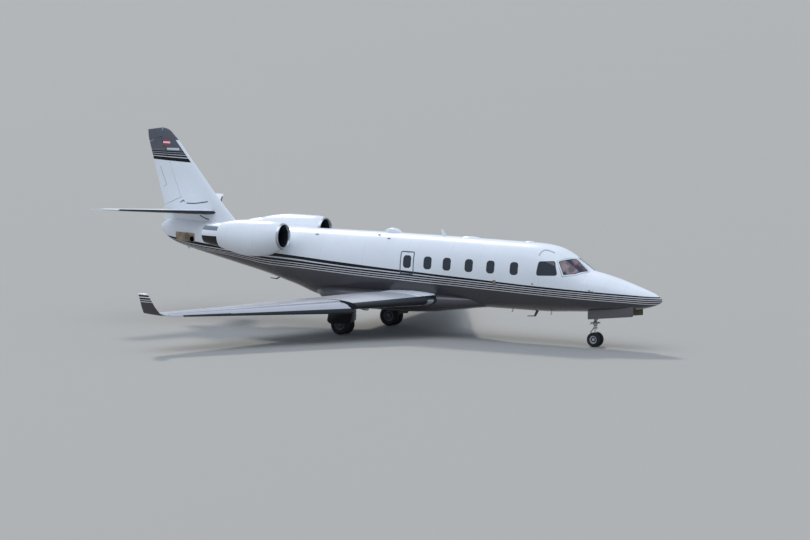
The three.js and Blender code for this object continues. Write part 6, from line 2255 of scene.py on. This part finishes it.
def fin_half_width(x, z):
    """Half thickness of the fin at a place on its side."""
    low, high = next(pair for pair in zip(FIN, FIN[1:]) if z <= pair[1][1])
    share = (z - low[1]) / (high[1] - low[1])
    le_x, te_x, thick = (low[k] + share * (high[k] - low[k]) for k in (0, 2, 4))
    return thick * half_thickness((le_x - x) / (le_x - te_x))


def surface_line(points, wide, side, rise):
    """Short thin strips that follow a line on the fin side."""
    strips = []
    path = smoothed_path([(x, 0, z) for x, z in points], 8)
    for start, end in zip(path, path[1:]):
        along = (end - start).normalized()
        across = Vector((-along.z, 0, along.x)) * wide / 2
        middle = (start + end) / 2
        reach = side * (fin_half_width(middle.x, middle.z) + rise)
        corners = [(p.x, p.z) for p in (start - across, end - across, end + across, start + across)]
        strips.append(side_prism("strip", corners, reach * 0.5, reach))
    return strips


def build_fin_marks():
    """The banded patch, the slots of the tailplane trim and the tab edges on the rudder."""
    reach = fin_half_width(*PATCH["middle"]) + 0.0035
    for k, finish in enumerate(("patch_red", "white", "patch_red")):
        low, high = (PATCH["top"] - step * PATCH["band"] for step in (k + 1, k))
        corners = ((PATCH["rear"], low), (PATCH["front"], low), (PATCH["front"], high), (PATCH["rear"], high))
        strips = [side_prism("strip", corners, side * 0.005, side * reach) for side in (-1, 1)]
        dress_all(f"fin_patch_band_{k + 1}", strips, finish)
    for name, lines, wide, rise, finish, body in (
            ("fin_slots", FIN_SLOTS, 0.030, 0.0015, "seal", "airframe"),
            ("rudder_tab_lines", TAB_LINES, 0.008, 0.001, "rim", "rudder")):
        strips = [strip for side in (-1, 1) for line in lines
                  for strip in surface_line(line, wide, side, rise)]
        dress_all(name, strips, finish, body=body)


def build_fittings():
    """Antennas, masts, probes, vents, lamps, handles, frames and the marks on the fin."""
    for build in (build_antennas, build_probes, build_plates, build_lamps, build_fin_marks):
        build()


# Reaches without rivets: the cockpit glass and the nose wheel bay as rear x, front x, low z, high z; then how
# far they keep off a window's centre and off a door's edge
RIVET_FREE = ((4.85, 6.27, 1.95, 3.0), (6.28, 7.76, 0.0, 1.42))
WINDOW_FREE = {"x": 0.17, "z": 0.22}
DOOR_FREE = 0.03

# How far rivets keep off the stripes, how high their heads are, and radius and height of a screw's head
STRIPE_FREE = 0.01
RIVET_RISE = 0.0012
SCREW_HEAD = (0.004, 0.0015)

# The row of screws round an exit: how far the row is wider than the exit, its corner radius and its pitch
SCREW_ROW = {"wider": 0.03, "corner": 0.07, "pitch": 0.05}


def skin_rivets():
    """Double rivet rows round the frames of the fuselage, as (point, direction) places."""
    places = []
    for x in RIVET_ROWS:
        top, bottom, _ = fuselage_row(x)
        for rise in (math.cos(math.pi * k / 64) for k in range(8, 57)):
            reach = math.copysign(abs(rise) ** (2 / FUSELAGE_FULLNESS), rise)
            z = (top + bottom) / 2 + (top - bottom) / 2 * reach
            places += [skin_place(x + shift, z, side) for side in (-1, 1)
                       for shift in (-RIVET_SPREAD, RIVET_SPREAD)]
    return places


def clear_skin(spot):
    """Whether a rivet there keeps off the glass, the windows, the doors and the nose wheel bay."""
    reaches = list(RIVET_FREE)
    reaches += [(x - WINDOW_FREE["x"], x + WINDOW_FREE["x"], WINDOW["z"] - WINDOW_FREE["z"],
                 WINDOW["z"] + WINDOW_FREE["z"]) for x in WINDOW_X]
    if spot.y > 0:
        reaches += [(door["x"] - door["width"] / 2 - DOOR_FREE, door["x"] + door["width"] / 2 + DOOR_FREE,
                     door["sill"] - DOOR_FREE, door["sill"] + door["height"] + DOOR_FREE)
                    for door in (CABIN_DOOR, BAGGAGE_DOOR)]
    return not any(rear < spot.x < front and low < spot.z < high for rear, front, low, high in reaches)


def livery_edge(x, column):
    """Height of one edge of the stripes at a station."""
    return np.interp(x, [row[0] for row in STRIPE], [row[column] for row in STRIPE])


def exit_screws():
    """Places of screws about 50 mm apart round both overwing exits."""
    exit_z = OVERWING_EXIT["sill"] + OVERWING_EXIT["height"] / 2
    outline = rounded_outline(OVERWING_EXIT["x"], exit_z, OVERWING_EXIT["width"] + SCREW_ROW["wider"],
                              OVERWING_EXIT["height"] + SCREW_ROW["wider"], SCREW_ROW["corner"], 4)
    spots = []
    for (x, z), (next_x, next_z) in zip(outline, outline[1:] + outline[:1]):
        count = max(int(math.hypot(next_x - x, next_z - z) / SCREW_ROW["pitch"]), 1)
        spots += [(x + (next_x - x) * k / count, z + (next_z - z) * k / count) for k in range(count)]
    return [skin_place(*spot, side) for side in (-1, 1) for spot in spots]


def build_fasteners():
    """Skin rivets and the screws round the exits, by geometry nodes."""
    places = [(spot, way) for spot, way in skin_rivets() if clear_skin(spot)]
    upper = [(spot, way) for spot, way in places if spot.z > livery_edge(spot.x, 1) + STRIPE_FREE]
    lower = [(spot, way) for spot, way in places if spot.z < livery_edge(spot.x, 4) - STRIPE_FREE]
    rivet = (sizes().rivet_radius, RIVET_RISE)
    for name, group, head, finish, slot in (
            ("fuselage_rivets_upper", upper, rivet, "white_rivet", "white_paint"),
            ("fuselage_rivets_lower", lower, rivet, "taupe", "belly_paint"),
            ("exit_screws", exit_screws(), SCREW_HEAD, "rim", "polished_metal")):
        dress(fastened(name, group, dome(*head, 6), M[finish]), None, angle=60)


# Sizes and colours that a user would change

class JetPaint(bpy.types.PropertyGroup):
    """Paint of the aircraft."""
    upper: bpy.props.FloatVectorProperty(
        name="Upper skin", description="Enamel above the stripes", subtype="COLOR", size=4, min=0, max=1,
        default=linear(WHITE))
    belly: bpy.props.FloatVectorProperty(
        name="Belly", description="Enamel below the stripes", subtype="COLOR", size=4, min=0, max=1,
        default=linear(TAUPE))
    stripe: bpy.props.FloatVectorProperty(
        name="Stripes", description="Enamel of the dark stripes", subtype="COLOR", size=4, min=0, max=1,
        default=linear(BLACK))
    pinstripe: bpy.props.FloatVectorProperty(
        name="Pinstripes", description="Enamel of the thin light lines", subtype="COLOR", size=4, min=0,
        max=1, default=linear(SILVER))
    wing: bpy.props.FloatVectorProperty(
        name="Wing", description="Enamel of the wing skins", subtype="COLOR", size=4, min=0, max=1,
        default=linear(WING_GREY))
    seats: bpy.props.FloatVectorProperty(
        name="Seats", description="Leather of the cabin seats", subtype="COLOR", size=4, min=0, max=1,
        default=linear("#B7A68C"))


class JetSizes(bpy.types.PropertyGroup):
    """Sizes of the repeated and fitted details."""
    window_width: bpy.props.FloatProperty(
        name="Window width", description="Width of a cabin window opening", unit="LENGTH", min=0.1, max=0.4,
        default=WINDOW["width"])
    window_height: bpy.props.FloatProperty(
        name="Window height", description="Height of a cabin window opening", unit="LENGTH", min=0.1, max=0.5,
        default=WINDOW["height"])
    seal_width: bpy.props.FloatProperty(
        name="Seal width", description="Width of the rubber round each cabin pane", unit="LENGTH", min=0.005,
        max=0.04, default=0.016)
    fan_blades: bpy.props.IntProperty(
        name="Fan blades", description="Blades of each engine fan", min=8, max=48, default=FAN["blades"])
    rivet_radius: bpy.props.FloatProperty(
        name="Rivet radius", description="Radius of a skin rivet's head", unit="LENGTH", min=0.001, max=0.008,
        default=0.0035)
    tie_bolts: bpy.props.IntProperty(
        name="Tie bolts", description="Bolts that hold one wheel's halves together", min=4, max=20,
        default=12)


class JetStage(bpy.types.PropertyGroup):
    """Floor and light of the studio."""
    floor: bpy.props.FloatVectorProperty(
        name="Floor", description="Paint of the floor", subtype="COLOR", size=4, min=0, max=1,
        default=linear("#A3A19D"))
    key_power: bpy.props.FloatProperty(
        name="Key light", description="Strength of the main light in watts on a square metre", min=0,
        default=1.5)
    overhead_power: bpy.props.FloatProperty(
        name="Overhead light", description="Strength of the wide light from above in watts on a square metre",
        min=0, default=1.1)
    surround: bpy.props.FloatProperty(
        name="Surround", description="Strength of the pale surround", min=0, max=4, default=0.78)


def sizes():
    """The sizes that the user has set."""
    return bpy.context.scene.jet_sizes


# Operators

class JET_OT_materials(bpy.types.Operator):
    """Make every paint, metal, rubber and fabric of the aircraft"""
    bl_idname = "jet.materials"
    bl_label = "Materials"

    def execute(self, context):
        M.update(make_materials())
        TREES.update(blades=blade_row_tree(), fasteners=scatter_tree())
        return {"FINISHED"}


class JET_OT_stage(bpy.types.Operator):
    """Lay the floor and set the lights"""
    bl_idname = "jet.stage"
    bl_label = "Floor and lights"

    def execute(self, context):
        make_stage()
        return {"FINISHED"}


class JET_OT_camera(bpy.types.Operator):
    """Set the camera at the viewpoint"""
    bl_idname = "jet.camera"
    bl_label = "Camera"

    def execute(self, context):
        make_camera()
        return {"FINISHED"}


class JET_OT_fuselage(bpy.types.Operator):
    """Build the skins from the nose to the tail cone"""
    bl_idname = "jet.fuselage"
    bl_label = "Fuselage"

    def execute(self, context):
        build_fuselage()
        return {"FINISHED"}


class JET_OT_belly(bpy.types.Operator):
    """Build the fairing under the wing centre"""
    bl_idname = "jet.belly"
    bl_label = "Belly fairing"

    def execute(self, context):
        build_belly()
        return {"FINISHED"}


class JET_OT_glass(bpy.types.Operator):
    """Build the cabin and cockpit panes with their seals"""
    bl_idname = "jet.glass"
    bl_label = "Windows"

    def execute(self, context):
        build_glass()
        return {"FINISHED"}


class JET_OT_doors(bpy.types.Operator):
    """Build the airstair door and the baggage door"""
    bl_idname = "jet.doors"
    bl_label = "Doors"

    def execute(self, context):
        build_doors()
        return {"FINISHED"}


class JET_OT_wings(bpy.types.Operator):
    """Build the wings with their flaps, ailerons, slats and winglets"""
    bl_idname = "jet.wings"
    bl_label = "Wings"

    def execute(self, context):
        build_wings()
        return {"FINISHED"}


class JET_OT_tail(bpy.types.Operator):
    """Build the fin, rudder, tailplane and elevators"""
    bl_idname = "jet.tail"
    bl_label = "Tail"

    def execute(self, context):
        build_tail()
        return {"FINISHED"}


class JET_OT_engines(bpy.types.Operator):
    """Build the engines with their fans, reversers and pylons"""
    bl_idname = "jet.engines"
    bl_label = "Engines"

    def execute(self, context):
        build_engines()
        return {"FINISHED"}


class JET_OT_wheels(bpy.types.Operator):
    """Build the six wheels with their tyres and tie bolts"""
    bl_idname = "jet.wheels"
    bl_label = "Wheels"

    def execute(self, context):
        build_wheels()
        return {"FINISHED"}


class JET_OT_main_legs(bpy.types.Operator):
    """Build the main legs with their shock struts, hoses and doors"""
    bl_idname = "jet.main_legs"
    bl_label = "Main legs"

    def execute(self, context):
        build_main_legs()
        return {"FINISHED"}


class JET_OT_nose_leg(bpy.types.Operator):
    """Build the nose leg with its fork, torque links and doors"""
    bl_idname = "jet.nose_leg"
    bl_label = "Nose leg"

    def execute(self, context):
        build_nose_leg()
        return {"FINISHED"}


class JET_OT_cabin(bpy.types.Operator):
    """Build the floor, seats and instrument panel"""
    bl_idname = "jet.cabin"
    bl_label = "Cabin"

    def execute(self, context):
        build_cabin()
        return {"FINISHED"}


class JET_OT_fittings(bpy.types.Operator):
    """Build the antennas, probes, lamps, frames and plates on the skin"""
    bl_idname = "jet.fittings"
    bl_label = "Outside fittings"

    def execute(self, context):
        build_fittings()
        return {"FINISHED"}


class JET_OT_fasteners(bpy.types.Operator):
    """Set the rivets and screws in the skin"""
    bl_idname = "jet.fasteners"
    bl_label = "Rivets and screws"

    def execute(self, context):
        build_fasteners()
        return {"FINISHED"}


OPERATORS = (JET_OT_materials, JET_OT_stage, JET_OT_camera, JET_OT_fuselage, JET_OT_belly, JET_OT_glass,
             JET_OT_doors, JET_OT_wings, JET_OT_tail, JET_OT_engines, JET_OT_wheels, JET_OT_main_legs,
             JET_OT_nose_leg, JET_OT_cabin, JET_OT_fittings, JET_OT_fasteners)


class JET_PT_panel(bpy.types.Panel):
    """Sizes, colours and build steps of the aircraft"""
    bl_idname = "JET_PT_panel"
    bl_label = "Business jet"
    bl_space_type = "VIEW_3D"
    bl_region_type = "UI"
    bl_category = "Jet"

    def draw(self, context):
        for group in (context.scene.jet_paint, context.scene.jet_sizes, context.scene.jet_stage):
            box = self.layout.box()
            for name in group.bl_rna.properties.keys():
                if name not in ("rna_type", "name"):
                    box.prop(group, name)
        for operator in OPERATORS:
            self.layout.operator(operator.bl_idname)


GROUPS = {"jet_paint": JetPaint, "jet_sizes": JetSizes, "jet_stage": JetStage}


def register():
    """Adds the settings, the operators and the panel to Blender."""
    for item in (*GROUPS.values(), *OPERATORS, JET_PT_panel):
        bpy.utils.register_class(item)
    for name, group in GROUPS.items():
        setattr(bpy.types.Scene, name, bpy.props.PointerProperty(type=group))


def unregister():
    for name in GROUPS:
        delattr(bpy.types.Scene, name)
    for item in reversed((*GROUPS.values(), *OPERATORS, JET_PT_panel)):
        bpy.utils.unregister_class(item)


def main():
    """Builds the aircraft and its stage."""
    register()
    for operator in OPERATORS:
        getattr(bpy.ops.jet, operator.bl_idname.split(".")[1])()


if __name__ == "__main__":
    main()
